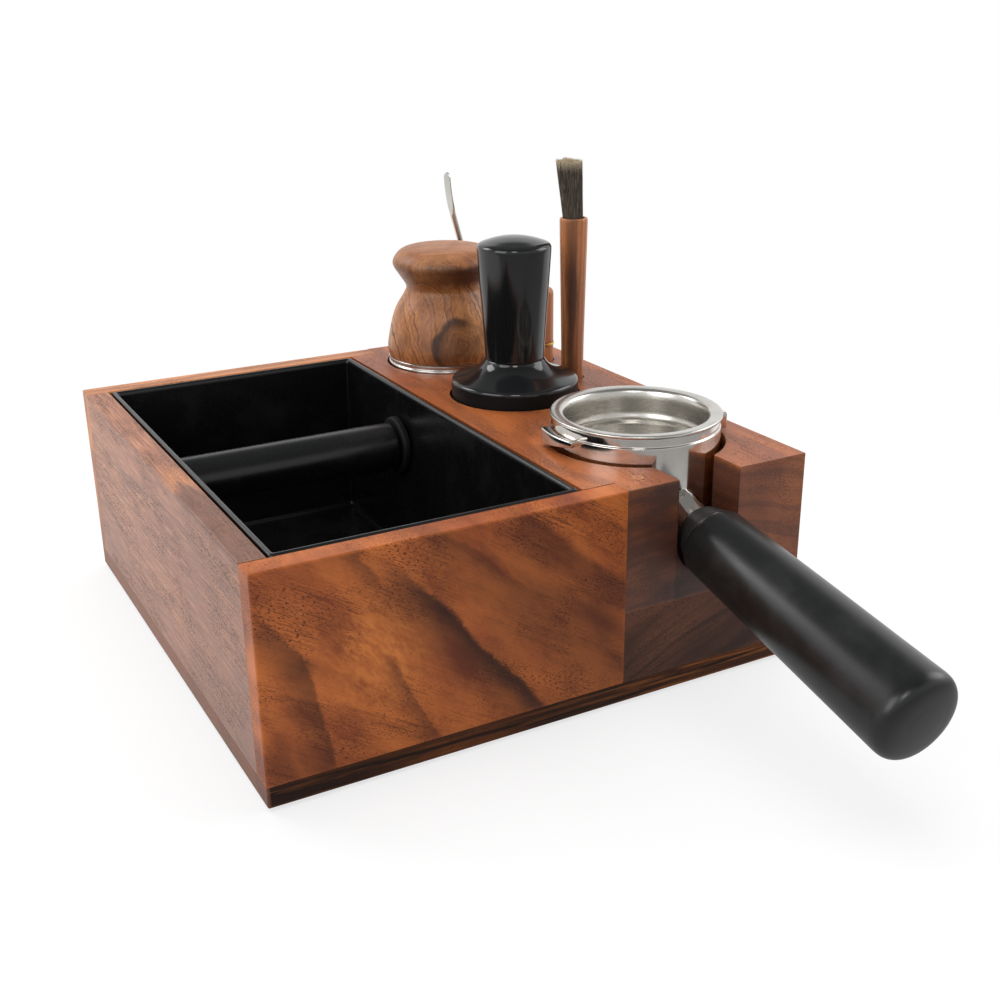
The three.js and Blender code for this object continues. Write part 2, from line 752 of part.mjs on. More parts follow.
// Pressed steel basket with a rolled rim and a ridge that the spring grips
function filterBasket(rimFoot, rimTop) {
  const rim = basketRimDiameter / 2;
  const inner = basketInnerRadius;
  const outer = inner + basketWall;
  const floor = rimTop - basketDepth;
  const ridge = rimTop - basketRidgeDrop;
  const taper = 1.4;
  const corner = 3;
  const edge = basketRimHeight / 4;
  return turned([
    [0, floor],
    [outer - taper - corner, floor],
    [outer - taper - corner * 0.3, floor + corner * 0.3],
    [outer - taper, floor + corner],
    [outer - taper * 0.3, ridge - 2],
    [outer - basketRidgeDepth, ridge],
    [outer, ridge + 2],
    [outer, rimFoot],
    [rim - edge, rimFoot],
    [rim, rimFoot + edge],
    [rim, rimTop - edge],
    [rim - edge, rimTop],
    [outer + edge * 2, rimTop],
    [inner + edge, rimTop - edge],
    [inner, rimTop - basketRimHeight],
    [inner, ridge + 2],
    [inner - basketRidgeDepth, ridge],
    [inner - taper * 0.3, ridge - 2],
    [inner - taper, floor + corner],
    [inner - taper - corner * 0.3, floor + basketWall + corner * 0.2],
    [inner - taper - corner, floor + basketWall],
    [0, floor + basketWall],
  ], largeSegments);
}

// Portafilter: body, spring, basket, and the handle built along its tilted axis
function portafilter() {
  const boreRadius = basketInnerRadius + basketWall + fitGap;
  const rimFoot = portafilterRise + seatGap;
  const rimTop = rimFoot + basketRimHeight;
  const springZ = rimTop - basketRidgeDrop;
  const springGroove = springWireRadius + fitGap / 2;
  const springRadius = boreRadius + springGroove - fitGap / 2;
  const spring = new THREE.TorusGeometry(springRadius, springWireRadius, 5, largeSegments);
  spring.translate(0, 0, springZ);
  const collarRadius = collarDiameter / 2;
  const boreAround = studRadius + fitGap;
  const collarEdge = 1;
  const collar = turnedTube([
    [boreAround, -collarBack],
    [collarBackDiameter / 2 - collarEdge, -collarBack],
    [collarBackDiameter / 2, -collarBack + collarEdge],
    [collarRadius, collarFront],
    [boreAround, collarFront],
  ], mediumSegments);
  const gripFoot = collarFront + fitGap;
  const gripEnd = gripFoot + gripLength;
  const grip = turned([
    [0, studReachFront + fitGap],
    [boreAround, studReachFront + fitGap],
    [boreAround, gripFoot],
    [gripStartRadius - gripStartRound, gripFoot],
    [gripStartRadius, gripFoot + 2.5 * gripStartRound],
    [(gripStartRadius + gripEndRadius) / 2 + 0.3, gripFoot + gripLength * 0.5],
    ...roundedEdge(gripEndRadius, gripEnd - 1, gripEndRound, 5),
    [0, gripEnd],
  ], mediumSegments);
  return groupAt(portafilterX, portafilterY, stationTop, [
    piece('portafilter_body', portafilterBody(boreRadius, springZ, springGroove), chrome),
    piece('basket_spring', spring, steel),
    piece('filter_basket', filterBasket(rimFoot, rimTop), steel),
    piece('handle_collar', alongHandle(collar), gripBlack),
    piece('handle_grip', alongHandle(grip), gripBlack),
    piece('handle_stud', alongHandle(stud(studRadius, -studReachBack, studReachFront)), steel),
  ]);
}

// Tuft of fine hairs on a small round backing; they fan out and lean without crossing
function tuft(backingBottom, backingRadius, tip) {
  const rootZ = backingBottom + tuftBacking;
  const height = tip - rootZ;
  const goldenAngle = Math.PI * (3 - Math.sqrt(5));
  let body = solid(post(0, 0, backingBottom, rootZ, backingRadius));
  for (let i = 0; i < strandCount; i++) {
    const spread = Math.sqrt((i + 0.5) / strandCount);
    const x = tuftRootRadius * spread * Math.cos(i * goldenAngle);
    const y = tuftRootRadius * spread * Math.sin(i * goldenAngle);
    const length = height * (1 - 0.06 * spread ** 2 - 0.03 * (1 + Math.sin(i * 2.4)));
    const ringAt = (rise, radius) => {
      const share = rise / height;
      const grow = 1 + (tuftSpread - 1) * share;
      return [0, 1, 2].map((corner) => {
        const angle = (corner * 2 * Math.PI) / 3;
        const offsetX = x * grow + tuftLean * share + radius * Math.cos(angle);
        return new THREE.Vector3(offsetX, y * grow + radius * Math.sin(angle), rootZ + rise);
      });
    };
    const strand = loft([ringAt(-tuftBacking / 2, strandRadius), ringAt(length, strandRadius * 0.7)]);
    body = body.add(solid(strand));
  }
  return geometryOf(body);
}

// Brush: slim turned handle with the tuft glued in its upper end
function brush() {
  const low = brushDiameter / 2;
  const high = brushTopDiameter / 2;
  const edge = 0.6;
  const socketFloor = brushLength - brushSocketDepth;
  const tuftFoot = socketFloor + seatGap;
  const tuftTip = brushLength + tuftRise;
  const tuftRoot = tuftFoot + tuftBacking;
  const mouthShare = (brushLength - tuftRoot) / (tuftTip - tuftRoot);
  const mouthSpread = tuftRootRadius * (1 + (tuftSpread - 1) * mouthShare);
  const mouthRadius = mouthSpread + Math.abs(tuftLean) * mouthShare + strandRadius;
  const socketRadius = (mouthRadius + fitGap) / Math.cos(Math.PI / smallSegments);
  const handle = turned([
    [0, 0],
    [low - edge, 0],
    [low, edge],
    [low, brushHoleDepth * 1.4],
    [high - edge / 2, brushLength * 0.92],
    [high, brushLength - 2 * edge],
    [high - edge, brushLength],
    [socketRadius, brushLength],
    [socketRadius, socketFloor],
    [0, socketFloor],
  ], smallSegments);
  const hair = tuft(tuftFoot, socketRadius - fitGap, tuftTip);
  return groupAt(toolRowX, brushY, stationTop - brushHoleDepth + seatGap, [
    piece('brush_handle', handle, turnedWood),
    piece('brush_bristles', hair, bristleHair),
  ]);
}

// Needle tool: wooden stem and grip with a brass ring between them, needles in the stem's end
function needleTool() {
  const radius = needleToolRadius;
  const stemTop = needleHoleDepth - seatGap + needleStemRise;
  const ringBottom = stemTop + seatGap;
  const ringTop = ringBottom + needleRingHeight;
  const gripBottom = ringTop + seatGap;
  const gripTop = gripBottom + needleGripLength;
  const spigotTop = stemTop + needleSpigotLength;
  const hubTop = needleHubLength + fitGap;
  const spigotBore = needleSpigotRadius + fitGap;
  const stem = turned([
    [0, hubTop],
    [needleHubRadius + fitGap, hubTop],
    [needleHubRadius + fitGap, 0],
    [radius, 0],
    [radius, stemTop],
    [needleSpigotRadius, stemTop],
    [needleSpigotRadius, spigotTop],
    [0, spigotTop],
  ], smallSegments);
  const ring = turnedTube([
    [spigotBore, ringBottom],
    [radius + needleRingProud, ringBottom],
    [radius + needleRingProud, ringTop],
    [spigotBore, ringTop],
  ], smallSegments);
  const grip = turned([
    [0, spigotTop + fitGap],
    [spigotBore, spigotTop + fitGap],
    [spigotBore, gripBottom],
    [radius, gripBottom],
    ...roundedEdge(radius, gripTop, radius * 0.55),
    [0, gripTop],
  ], smallSegments);
  const needleCircle = needleHubRadius * 0.6;
  const hub = solid(post(0, 0, 0, needleHubLength, needleHubRadius));
  const needles = Array.from({ length: needleCount }, (_, i) => {
    const angle = (i / needleCount) * 2 * Math.PI;
    const x = needleCircle * Math.cos(angle);
    const y = needleCircle * Math.sin(angle);
    return solid(post(x, y, -needleLength, needleHubLength / 2, needleRadius, 6));
  });
  const needleSet = geometryOf(needles.reduce((body, needle) => body.add(needle), hub));
  return groupAt(needleX, needleY, stationTop - needleHoleDepth + seatGap, [
    piece('needle_tool_stem', stem, turnedWood),
    piece('needle_tool_ring', ring, brass),
    piece('needle_tool_handle', grip, turnedWood),
    piece('needle_tool_needles', needleSet, steel),
  ]);
}

// Pen: a steel rod with a point below and a flattened, curved tip above, leaning in its wide hole
function pen() {
  const radius = penDiameter / 2;
  const slantedRadius = radius * 1.05;
  const sideRoom = penHoleRadius - slantedRadius - fitGap;
  const lean = Math.atan2(2 * sideRoom, penHoleDepth - fitGap);
  const pointRadius = radius / 5;
  const roundRing = (along, ringRadius) => ellipseRing(along, ringRadius, ringRadius, screwSegments);
  const rings = [roundRing(0, pointRadius), roundRing(4 * radius, radius), roundRing(penShaftLength, radius)];
  const tipSteps = 10;
  for (let i = 1; i <= tipSteps; i++) {
    const share = i / tipSteps;
    const flatten = Math.min(1, share * 4);
    const round = Math.sqrt(Math.max(0.1, 1 - Math.max(0, (share - 0.85) / 0.15) ** 2));
    const halfWidth = THREE.MathUtils.lerp(radius, penTipWidth / 2, flatten) * round;
    const halfThickness = THREE.MathUtils.lerp(radius, penTipThickness / 2, flatten);
    const along = penShaftLength + penTipLength * share;
    rings.push(ellipseRing(along, halfThickness, halfWidth, screwSegments, penTipCurl * share ** 2));
  }
  const foot = stationTop - penHoleDepth + fitGap;
  const rod = loft(rings).rotateZ(THREE.MathUtils.degToRad(penTurn));
  const group = groupAt(penX + sideRoom, penY, foot, [piece('latte_pen', rod, steel)]);
  group.rotation.y = -lean;
  return group;
}

// The whole station, moved so that its box stands centred on the origin
const station = new THREE.Group();
station.add(...woodwork(), tray(), tamper(), distributor(), portafilter(), brush(), needleTool(), pen());
station.updateMatrixWorld(true);
const reach = new THREE.Box3().setFromObject(station, true);
const middle = reach.getCenter(new THREE.Vector3());
station.position.set(-middle.x, -middle.y, -reach.min.z);

export default station;
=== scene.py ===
import json
import random
from math import cos, pi, radians, sin

import bmesh
import bpy
from mathutils import Matrix, Vector

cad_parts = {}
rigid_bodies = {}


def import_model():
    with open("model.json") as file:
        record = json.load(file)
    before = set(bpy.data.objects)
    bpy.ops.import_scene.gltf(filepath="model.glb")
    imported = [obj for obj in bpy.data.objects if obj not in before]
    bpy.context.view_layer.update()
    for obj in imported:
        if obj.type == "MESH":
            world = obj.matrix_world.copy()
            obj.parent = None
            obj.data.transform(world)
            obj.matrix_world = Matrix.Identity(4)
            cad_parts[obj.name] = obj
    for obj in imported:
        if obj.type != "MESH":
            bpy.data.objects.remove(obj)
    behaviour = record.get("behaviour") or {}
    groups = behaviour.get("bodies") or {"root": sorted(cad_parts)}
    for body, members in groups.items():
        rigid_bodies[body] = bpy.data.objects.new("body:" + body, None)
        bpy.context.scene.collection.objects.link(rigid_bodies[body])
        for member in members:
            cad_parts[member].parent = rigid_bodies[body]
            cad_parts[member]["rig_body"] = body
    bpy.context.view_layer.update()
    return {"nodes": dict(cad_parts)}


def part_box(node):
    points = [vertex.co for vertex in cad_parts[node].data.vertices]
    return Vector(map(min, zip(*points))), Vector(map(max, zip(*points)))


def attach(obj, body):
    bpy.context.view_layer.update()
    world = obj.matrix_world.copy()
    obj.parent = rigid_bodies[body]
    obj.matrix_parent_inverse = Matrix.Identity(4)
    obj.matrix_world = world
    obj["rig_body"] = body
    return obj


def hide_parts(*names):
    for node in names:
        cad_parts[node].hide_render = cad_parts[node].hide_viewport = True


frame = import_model()


# Base board
# A dark acacia board under the whole station, sawn square, sanded and oiled. Six countersunk screws
# come up through it into the panels and the right riser, so its underside has six conical holes.
MM = 0.001
station_low, station_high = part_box("base_board")


def colour(red, green, blue):
    """A colour as it is seen, 0 to 255 each, in the linear values that a shader takes."""
    shares = [value / 255 for value in (red, green, blue)]
    linear = [s / 12.92 if s <= 0.04045 else ((s + 0.055) / 1.055) ** 2.4 for s in shares]
    return (*linear, 1.0)


def place(tree, kind, sockets=None, **settings):
    """One shader node; sockets maps an input to a plain value or to another node's output."""
    node = tree.nodes.new(kind)
    for name, value in settings.items():
        setattr(node, name, value)
    for name, value in (sockets or {}).items():
        if isinstance(value, bpy.types.NodeSocket):
            tree.links.new(value, node.inputs[name])
        else:
            node.inputs[name].default_value = value
    return node


def owner(*values):
    """The node tree of the first socket among the values."""
    return next(value.id_data for value in values if isinstance(value, bpy.types.NodeSocket))


def maths(operation, first, second=0.0, third=0.0):
    sockets = {0: first, 1: second, 2: third}
    return place(owner(first, second, third), "ShaderNodeMath", sockets, operation=operation).outputs[0]


def times(product, *factors):
    for factor in factors:
        product = maths("MULTIPLY", product, factor)
    return product


def times_plus(first, second, third):
    """First times second, plus third."""
    return maths("MULTIPLY_ADD", first, second, third)


def minus(first, second):
    return maths("SUBTRACT", first, second)


def vectors(operation, first, second=(0.0, 0.0, 0.0)):
    node = place(owner(first, second), "ShaderNodeVectorMath", {0: first, 1: second}, operation=operation)
    return node.outputs["Value" if operation in ("DOT_PRODUCT", "LENGTH") else "Vector"]


def split(vector):
    """The three coordinates of a vector."""
    return place(owner(vector), "ShaderNodeSeparateXYZ", {0: vector}).outputs


def join(*parts):
    """A vector or a grey from three values."""
    return place(owner(*parts), "ShaderNodeCombineXYZ", dict(enumerate(parts))).outputs[0]


def millimetres(here, origin=(0.0, 0.0, 0.0)):
    """A place in metres, as millimetres from an origin."""
    return vectors("MULTIPLY", vectors("SUBTRACT", here, origin), (1 / MM,) * 3)


def speckle(vector, stretch, detail=2.0, rough=0.5):
    """Soft noise from 0 to 1, stretched along the grain by unequal scales."""
    stretched = vectors("MULTIPLY", vector, stretch)
    sockets = {"Vector": stretched, "Scale": 1.0, "Detail": detail, "Roughness": rough}
    return place(owner(vector), "ShaderNodeTexNoise", sockets).outputs[0]


def layers(along, detail, rough=0.5):
    """Soft noise from 0 to 1 that changes along one line only, as growth rings do."""
    sockets = {"W": along, "Scale": 1.0, "Detail": detail, "Roughness": rough}
    return place(owner(along), "ShaderNodeTexNoise", sockets, noise_dimensions="1D").outputs[0]


def fade(value, low, high, start=0.0, end=1.0):
    """A smooth step from start at low to end at high."""
    sockets = {"Value": value, "From Min": low, "From Max": high, "To Min": start, "To Max": end}
    return place(owner(value), "ShaderNodeMapRange", sockets, interpolation_type="SMOOTHSTEP").outputs[0]


def tint(share, first, second, mode="MIX"):
    sockets = {0: share, 6: first, 7: second}
    node = place(owner(share, first, second), "ShaderNodeMix", sockets, data_type="RGBA", blend_type=mode)
    return node.outputs[2]


def fall(value, low, high):
    """A smooth step from 1 at low to 0 at high."""
    return fade(value, low, high, 1.0, 0.0)


def coats(shown, *marks):
    """Lays marks over a colour, one after the other: each has its share and its colour as it is seen."""
    for share, seen in marks:
        shown = tint(share, shown, colour(*seen))
    return shown


def relief(height, strength, distance):
    """A bumpy normal; the distance is in millimetres."""
    sockets = {"Height": height, "Strength": strength, "Distance": distance * MM}
    return place(owner(height), "ShaderNodeBump", sockets).outputs[0]


def new_material(name):
    """An empty material and the Object coordinates in it."""
    material = bpy.data.materials.new(name)
    material.use_nodes = True
    tree = material.node_tree
    tree.nodes.clear()
    return material, place(tree, "ShaderNodeTexCoord").outputs["Object"]


def finished(material, sockets):
    """Joins the material's one shader to its output."""
    shader = place(material.node_tree, "ShaderNodeBsdfPrincipled", sockets)
    place(material.node_tree, "ShaderNodeOutputMaterial", {"Surface": shader.outputs[0]})
    return material


def shade_group(name, inputs, outputs):
    """An empty node group with named sockets, its inner inputs and its inner outputs."""
    tree = bpy.data.node_groups.new(name, "ShaderNodeTree")
    for label, kind in inputs.items():
        tree.interface.new_socket(label, in_out="INPUT", socket_type="NodeSocket" + kind)
    for label, kind in outputs.items():
        tree.interface.new_socket(label, in_out="OUTPUT", socket_type="NodeSocket" + kind)
    return tree, place(tree, "NodeGroupInput").outputs, place(tree, "NodeGroupOutput").inputs


def use_group(group, sockets):
    return place(owner(*sockets.values()), "ShaderNodeGroup", sockets, node_tree=group).outputs


# Sawn wood in the solid: growth rings round a pith that lies along the first coordinate, fibres and
# short dark pores along it, all in millimetres, so that faces, edges and end grain agree.
def make_wood_grain():
    group, given, result = shade_group(
        "wood_grain",
        {"Vector": "Vector", "Light": "Color", "Mid": "Color", "Dark": "Color", "Ring width": "Float",
         "Ring depth": "Float", "Wander": "Float", "Fibre": "Float", "Pores": "Float"},
        {"Color": "Color", "Roughness": "Float", "Height": "Float"})
    vector = given["Vector"]
    drift_at = vectors("MULTIPLY", vector, (0.009, 0.026, 0.026))
    drift = place(group, "ShaderNodeTexNoise", {"Vector": drift_at, "Scale": 1.0, "Detail": 2.0})
    drift = vectors("SUBTRACT", drift.outputs["Color"], (0.5, 0.5, 0.5))
    moved = vectors("ADD", vector, vectors("MULTIPLY", drift, given["Wander"]))
    from_pith = vectors("LENGTH", vectors("MULTIPLY", moved, (0.0, 1.0, 1.0)))
    ring_at = maths("DIVIDE", from_pith, given["Ring width"])
    rings = layers(ring_at, 3.0, 0.6)
    cloud = speckle(vector, (0.011, 0.034, 0.034), detail=3.0)
    base = tint(fade(cloud, 0.36, 0.64), given["Light"], given["Mid"])
    late = times(fade(rings, 0.47, 0.68), given["Ring depth"])
    base = tint(late, base, given["Dark"])
    fibre = speckle(vector, (0.035, 1.1, 1.1), detail=4.0, rough=0.66)
    fine = speckle(vector, (0.30, 4.2, 4.2), detail=2.0)
    grain = maths("ADD", times(fibre, 0.6), times(fine, 0.4))
    tone = times_plus(minus(grain, 0.5), given["Fibre"], 1.0)
    toned = tint(1.0, base, join(tone, tone, tone), mode="MULTIPLY")
    pore = fade(speckle(vector, (0.66, 2.6, 2.6), detail=1.0), 0.54, 0.63)
    vessel = fade(speckle(vector, (0.06, 2.1, 2.1), detail=2.0, rough=0.6), 0.52, 0.66, 0.0, 0.7)
    patch = fade(speckle(vector, (0.03, 0.06, 0.06), detail=2.0), 0.38, 0.60, 0.22, 1.0)
    pore = times(maths("MAXIMUM", pore, vessel), patch, given["Pores"])
    pore_colour = tint(0.4, given["Dark"], (0.010, 0.006, 0.005, 1.0))
    group.links.new(tint(pore, toned, pore_colour), result["Color"])
    rough = times_plus(grain, 0.18, 0.31)
    group.links.new(times_plus(pore, 0.18, rough), result["Roughness"])
    group.links.new(minus(grain, times(pore, 1.4)), result["Height"])
    return group


wood_grain = make_wood_grain()


# Handled edges: a mask that is 1 along the edges of a box and breaks up into flecks.
def make_edge_wear():
    group, given, result = shade_group(
        "edge_wear",
        {"Vector": "Vector", "Low": "Vector", "High": "Vector", "Width": "Float"},
        {"Mask": "Float"})
    from_low = vectors("SUBTRACT", given["Vector"], given["Low"])
    from_high = vectors("SUBTRACT", given["High"], given["Vector"])
    near = split(vectors("MINIMUM", from_low, from_high))
    smaller = maths("MINIMUM", near[0], near[1])
    larger = maths("MAXIMUM", near[0], near[1])
    to_edge = maths("MAXIMUM", smaller, maths("MINIMUM", larger, near[2]))
    share = maths("DIVIDE", to_edge, given["Width"])
    flecks = fade(speckle(given["Vector"], (420.0, 420.0, 420.0), detail=3.0), 0.3, 0.7, 0.25, 1.0)
    group.links.new(times(fall(share, 0.0, 1.0), flecks), result["Mask"])
    return group


edge_wear = make_edge_wear()


WORN_WIDTH = 1.6
WORN_SHARE = 0.2


def oiled_wood(name, turn, pith, light, mid, dark, ring, depth, wander, fibre, pores,
               worn=None, figure=None, sheen=0.42):
    """Oiled wood: turn lays the grain, in degrees, and pith moves the rings' centre, in millimetres.
    Worn is the node whose box edges are rubbed lighter; figure adds marks of its own to the colour."""
    material, here = new_material(name)
    laid = {"Vector": here, "Location": pith, "Rotation": [radians(angle) for angle in turn],
            "Scale": (1 / MM,) * 3}
    grain = use_group(wood_grain, {
        "Vector": place(owner(here), "ShaderNodeMapping", laid).outputs[0],
        "Light": colour(*light), "Mid": colour(*mid), "Dark": colour(*dark), "Ring width": ring,
        "Ring depth": depth, "Wander": wander, "Fibre": fibre, "Pores": pores})
    shown = grain["Color"]
    if figure:
        shown = figure(here, shown)
    if worn:
        low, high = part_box(worn)
        box = {"Vector": here, "Low": low, "High": high, "Width": WORN_WIDTH * MM}
        shown = coats(shown, (times(use_group(edge_wear, box)["Mask"], WORN_SHARE), light))
    return finished(material, {
        "Base Color": shown, "Roughness": grain["Roughness"], "Specular IOR Level": sheen,
        "Normal": relief(grain["Height"], 0.22, 0.12)})


def keep_flat(piece):
    """Keeps a piece's large faces flat under the light, next to eased edges."""
    piece.modifiers.new("level", "WEIGHTED_NORMAL").keep_sharp = True


def stand(name, bm):
    """Puts a bmesh into the scene as an object."""
    mesh = bpy.data.meshes.new(name)
    bm.to_mesh(mesh)
    bm.free()
    thing = bpy.data.objects.new(name, mesh)
    bpy.context.scene.collection.objects.link(thing)
    return thing


def shade(mesh, sharp):
    """Smooth shading, but for edges sharper than an angle in degrees."""
    mesh.shade_smooth()
    mesh.set_sharp_from_angle(angle=radians(sharp))


def show(node, made, bm, material, sharp=32.0, name=None):
    """Turns a bmesh into a piece that stands for a CAD node, rides on its body and wears the given material.
    """
    bmesh.ops.remove_doubles(bm, verts=bm.verts, dist=1e-7)
    bmesh.ops.dissolve_degenerate(bm, edges=bm.edges, dist=1e-7)
    bmesh.ops.recalc_face_normals(bm, faces=bm.faces)
    piece = stand(name or f"{node}_{made}", bm)
    piece.data.materials.append(material)
    shade(piece.data, sharp)
    body = frame["nodes"][node]["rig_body"]
    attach(piece, body)
    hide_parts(node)
    return piece


def soften(piece, width, limit="ANGLE"):
    """Eases the edges of a flat-sided piece."""
    ease = piece.modifiers.new("ease", "BEVEL")
    ease.width = width * MM
    ease.segments = 3
    ease.limit_method = limit
    ease.angle_limit = radians(40)
    keep_flat(piece)


SEAM_EASE = 0.14


def board(node, material, seams, ease=0.7):
    """A sawn board with eased edges. A seam names one face, or two faces that share an edge, where it
    meets a neighbour: such an edge is hardly eased, so the joint stays a hairline."""
    low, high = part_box(node)
    bm = bmesh.new()
    bmesh.ops.create_cube(bm, size=1.0)
    weights = bm.edges.layers.float.new("bevel_weight_edge")
    for edge in bm.edges:
        middle = (edge.verts[0].co + edge.verts[1].co) / 2
        sides = [(axis, value) for axis, value in zip("xyz", middle) if abs(value) > 0.4]
        faces = {("+" if value > 0 else "-") + axis for axis, value in sides}
        on_seam = any(set(seam.split()) <= faces for seam in seams)
        edge[weights] = SEAM_EASE if on_seam else 1.0
    bmesh.ops.scale(bm, vec=high - low, verts=bm.verts)
    bmesh.ops.translate(bm, vec=(low + high) / 2, verts=bm.verts)
    piece = show(node, "sawn", bm, material)
    soften(piece, ease, limit="WEIGHT")
    return piece


ALONG_X = (0, 0, 0)


def golden_streaks_and_painted_sheen(here, shown):
    in_mm = millimetres(here)
    streak = speckle(in_mm, (0.022, 0.3, 0.55), detail=4.0, rough=0.6)
    at = split(in_mm)
    to_right = fade(at[0], 0.0, 90.0, 0.25, 0.9)
    # Besides the golden streaks, the left end face is painted paler towards the back, a painted sheen.
    left_end = station_low.x / MM
    painted_sheen_end = fall(at[0], left_end + 0.5, left_end + 1.5)
    return coats(
        shown,
        (times(fade(streak, 0.50, 0.66), to_right), (150, 88, 40)),
        (times(painted_sheen_end, fade(at[1], -60.0, 90.0, 0.4, 0.65)), (146, 98, 78)))


base_material = oiled_wood(
    "dark_streaked_acacia", ALONG_X, (0, 12, 30), (96, 52, 23), (38, 20, 13), (18, 11, 8),
    ring=2.2, depth=0.85, wander=9.0, fibre=1.4, pores=0.5, worn="base_board",
    figure=golden_streaks_and_painted_sheen, sheen=0.12)
base_piece = board("base_board", base_material, ["+z"])


# Base screws
# Six countersunk steel screws with a cross recess, driven up through the base board.
# Their heads are sunk a hair into its underside.
SCREW_HEAD = 3.5
SCREW_SHANK = 1.7
SCREW_HEAD_DEPTH = 2.2
SCREW_LENGTH = 25.0
SCREW_POINT = 2.5
SCREW_HOLE = 9.0
SCREW_ROOM = 0.3


def turned(outline, place_at, steps=96):
    """Spins a half outline of (radius, height) pairs, in millimetres, about the local upright axis."""
    bm = bmesh.new()
    points = [bm.verts.new((radius * MM, 0.0, height * MM)) for radius, height in outline]
    edges = [bm.edges.new(pair) for pair in zip(points, points[1:])]
    bmesh.ops.spin(bm, geom=points + edges, cent=(0, 0, 0), axis=(0, 0, 1), angle=2 * pi, steps=steps,
                   use_merge=True, use_duplicate=False)
    bmesh.ops.remove_doubles(bm, verts=bm.verts, dist=1e-7)
    bmesh.ops.recalc_face_normals(bm, faces=bm.faces)
    bmesh.ops.transform(bm, matrix=place_at, verts=bm.verts)
    return bm


def eased(corners, steps=5):
    """An outline from (radius, height, ease) corners, each rounded over that distance either side."""
    points = [Vector(corner[:2]) for corner in corners]
    outline = [tuple(points[0])]
    for before, here, after, corner in zip(points, points[1:], points[2:], corners[1:]):
        reach_back = min(corner[2], (before - here).length * 0.49)
        reach_on = min(corner[2], (after - here).length * 0.49)
        start = here + (before - here).normalized() * reach_back
        end = here + (after - here).normalized() * reach_on
        count = steps if corner[2] else 0
        for step in range(count + 1):
            share = step / count if count else 0.5
            bend = start * (1 - share) ** 2 + here * 2 * share * (1 - share) + end * share ** 2
            outline.append(tuple(bend if count else here))
    return outline + [tuple(points[-1])]


def foot_of(node):
    """The point on a round node's axis at its lowest height."""
    low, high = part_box(node)
    return Vector(((low.x + high.x) / 2, (low.y + high.y) / 2, low.z))


def lathe(node, made, outline, material, steps=96, at=None, sharp=32.0):
    """A turned piece, standing on its node's foot or at another placing."""
    at = Matrix.Translation(foot_of(node)) if at is None else at
    return show(node, made, turned(outline, at, steps), material, sharp)


def settled_mesh(thing):
    """The mesh of an object with its modifiers, or of a curve."""
    return bpy.data.meshes.new_from_object(thing.evaluated_get(bpy.context.evaluated_depsgraph_get()))


def carve(piece, tools, operation="DIFFERENCE", sharp=32.0):
    """Cuts bmesh tools out of a piece, or joins them to it, and leaves one plain mesh."""
    helpers = []
    for bm in tools:
        bmesh.ops.recalc_face_normals(bm, faces=bm.faces)
        helpers.append(stand("tool", bm))
        cut = piece.modifiers.new("cut", "BOOLEAN")
        cut.operation = operation
        cut.solver = "EXACT"
        cut.object = helpers[-1]
    settled = settled_mesh(piece)
    piece.modifiers.clear()
    piece.data = settled
    shade(settled, sharp)
    for helper in helpers:
        bpy.data.objects.remove(helper)


SLOT_WIDTH = 0.22


def cross_slots(place_at, size, depth):
    """Two crossed bars that press a drive recess into a screw head, just past its face."""
    slots = []
    bar = Matrix.Diagonal((size * MM, size * SLOT_WIDTH * MM, 2 * depth * MM, 1))
    for quarter in (0, pi / 2):
        bm = bmesh.new()
        bmesh.ops.create_cube(bm, size=1.0, matrix=place_at @ Matrix.Rotation(quarter, 4, "Z") @ bar)
        slots.append(bm)
    return slots


def steel_finish(name, tone, rough, lines, smudge=0.12, bump=0.03):
    """Turned or drawn steel: fine machining lines at the given pitch per metre and soft smudges."""
    material, here = new_material(name)
    ridges = speckle(here, lines, detail=3.0, rough=0.6)
    haze = speckle(here, (90.0, 90.0, 70.0), detail=4.0, rough=0.6)
    roughness = times_plus(ridges, 0.10, rough - 0.05)
    roughness = times_plus(fade(haze, 0.42, 0.68), smudge, roughness)
    bright = colour(*tone)
    dull = tuple(value * 0.88 for value in bright[:3]) + (1.0,)
    shown = tint(fade(haze, 0.35, 0.7), bright, dull)
    return finished(material, {
        "Base Color": shown, "Metallic": 1.0, "Roughness": roughness, "Normal": relief(ridges, 0.35, bump)})


zinc = steel_finish("zinc_plate", (188, 186, 180), 0.34, (700.0, 700.0, 700.0))
screw_holes = []
for number in range(1, 7):
    node = f"base_screw_{number}"
    at = Matrix.Translation(foot_of(node))
    outline = eased([
        (0, 0, 0), (SCREW_HEAD, 0, 0.25), (SCREW_HEAD - 0.1, 0.3, 0.1), (SCREW_SHANK, SCREW_HEAD_DEPTH, 0.3),
        (SCREW_SHANK, SCREW_LENGTH - SCREW_POINT, 0.3), (0, SCREW_LENGTH, 0)])
    carve(lathe(node, "driven", outline, zinc, 32), cross_slots(at, 4.0, 1.2))
    head, shank = SCREW_HEAD + SCREW_ROOM, SCREW_SHANK + SCREW_ROOM
    room = [(0, -1.0), (head, -1.0), (head, SCREW_ROOM), (shank, SCREW_HEAD_DEPTH + SCREW_ROOM),
            (shank, SCREW_HOLE), (0, SCREW_HOLE)]
    screw_holes.append(turned(room, at, 32))
base_piece.modifiers.remove(base_piece.modifiers["level"])
carve(base_piece, screw_holes)
keep_flat(base_piece)


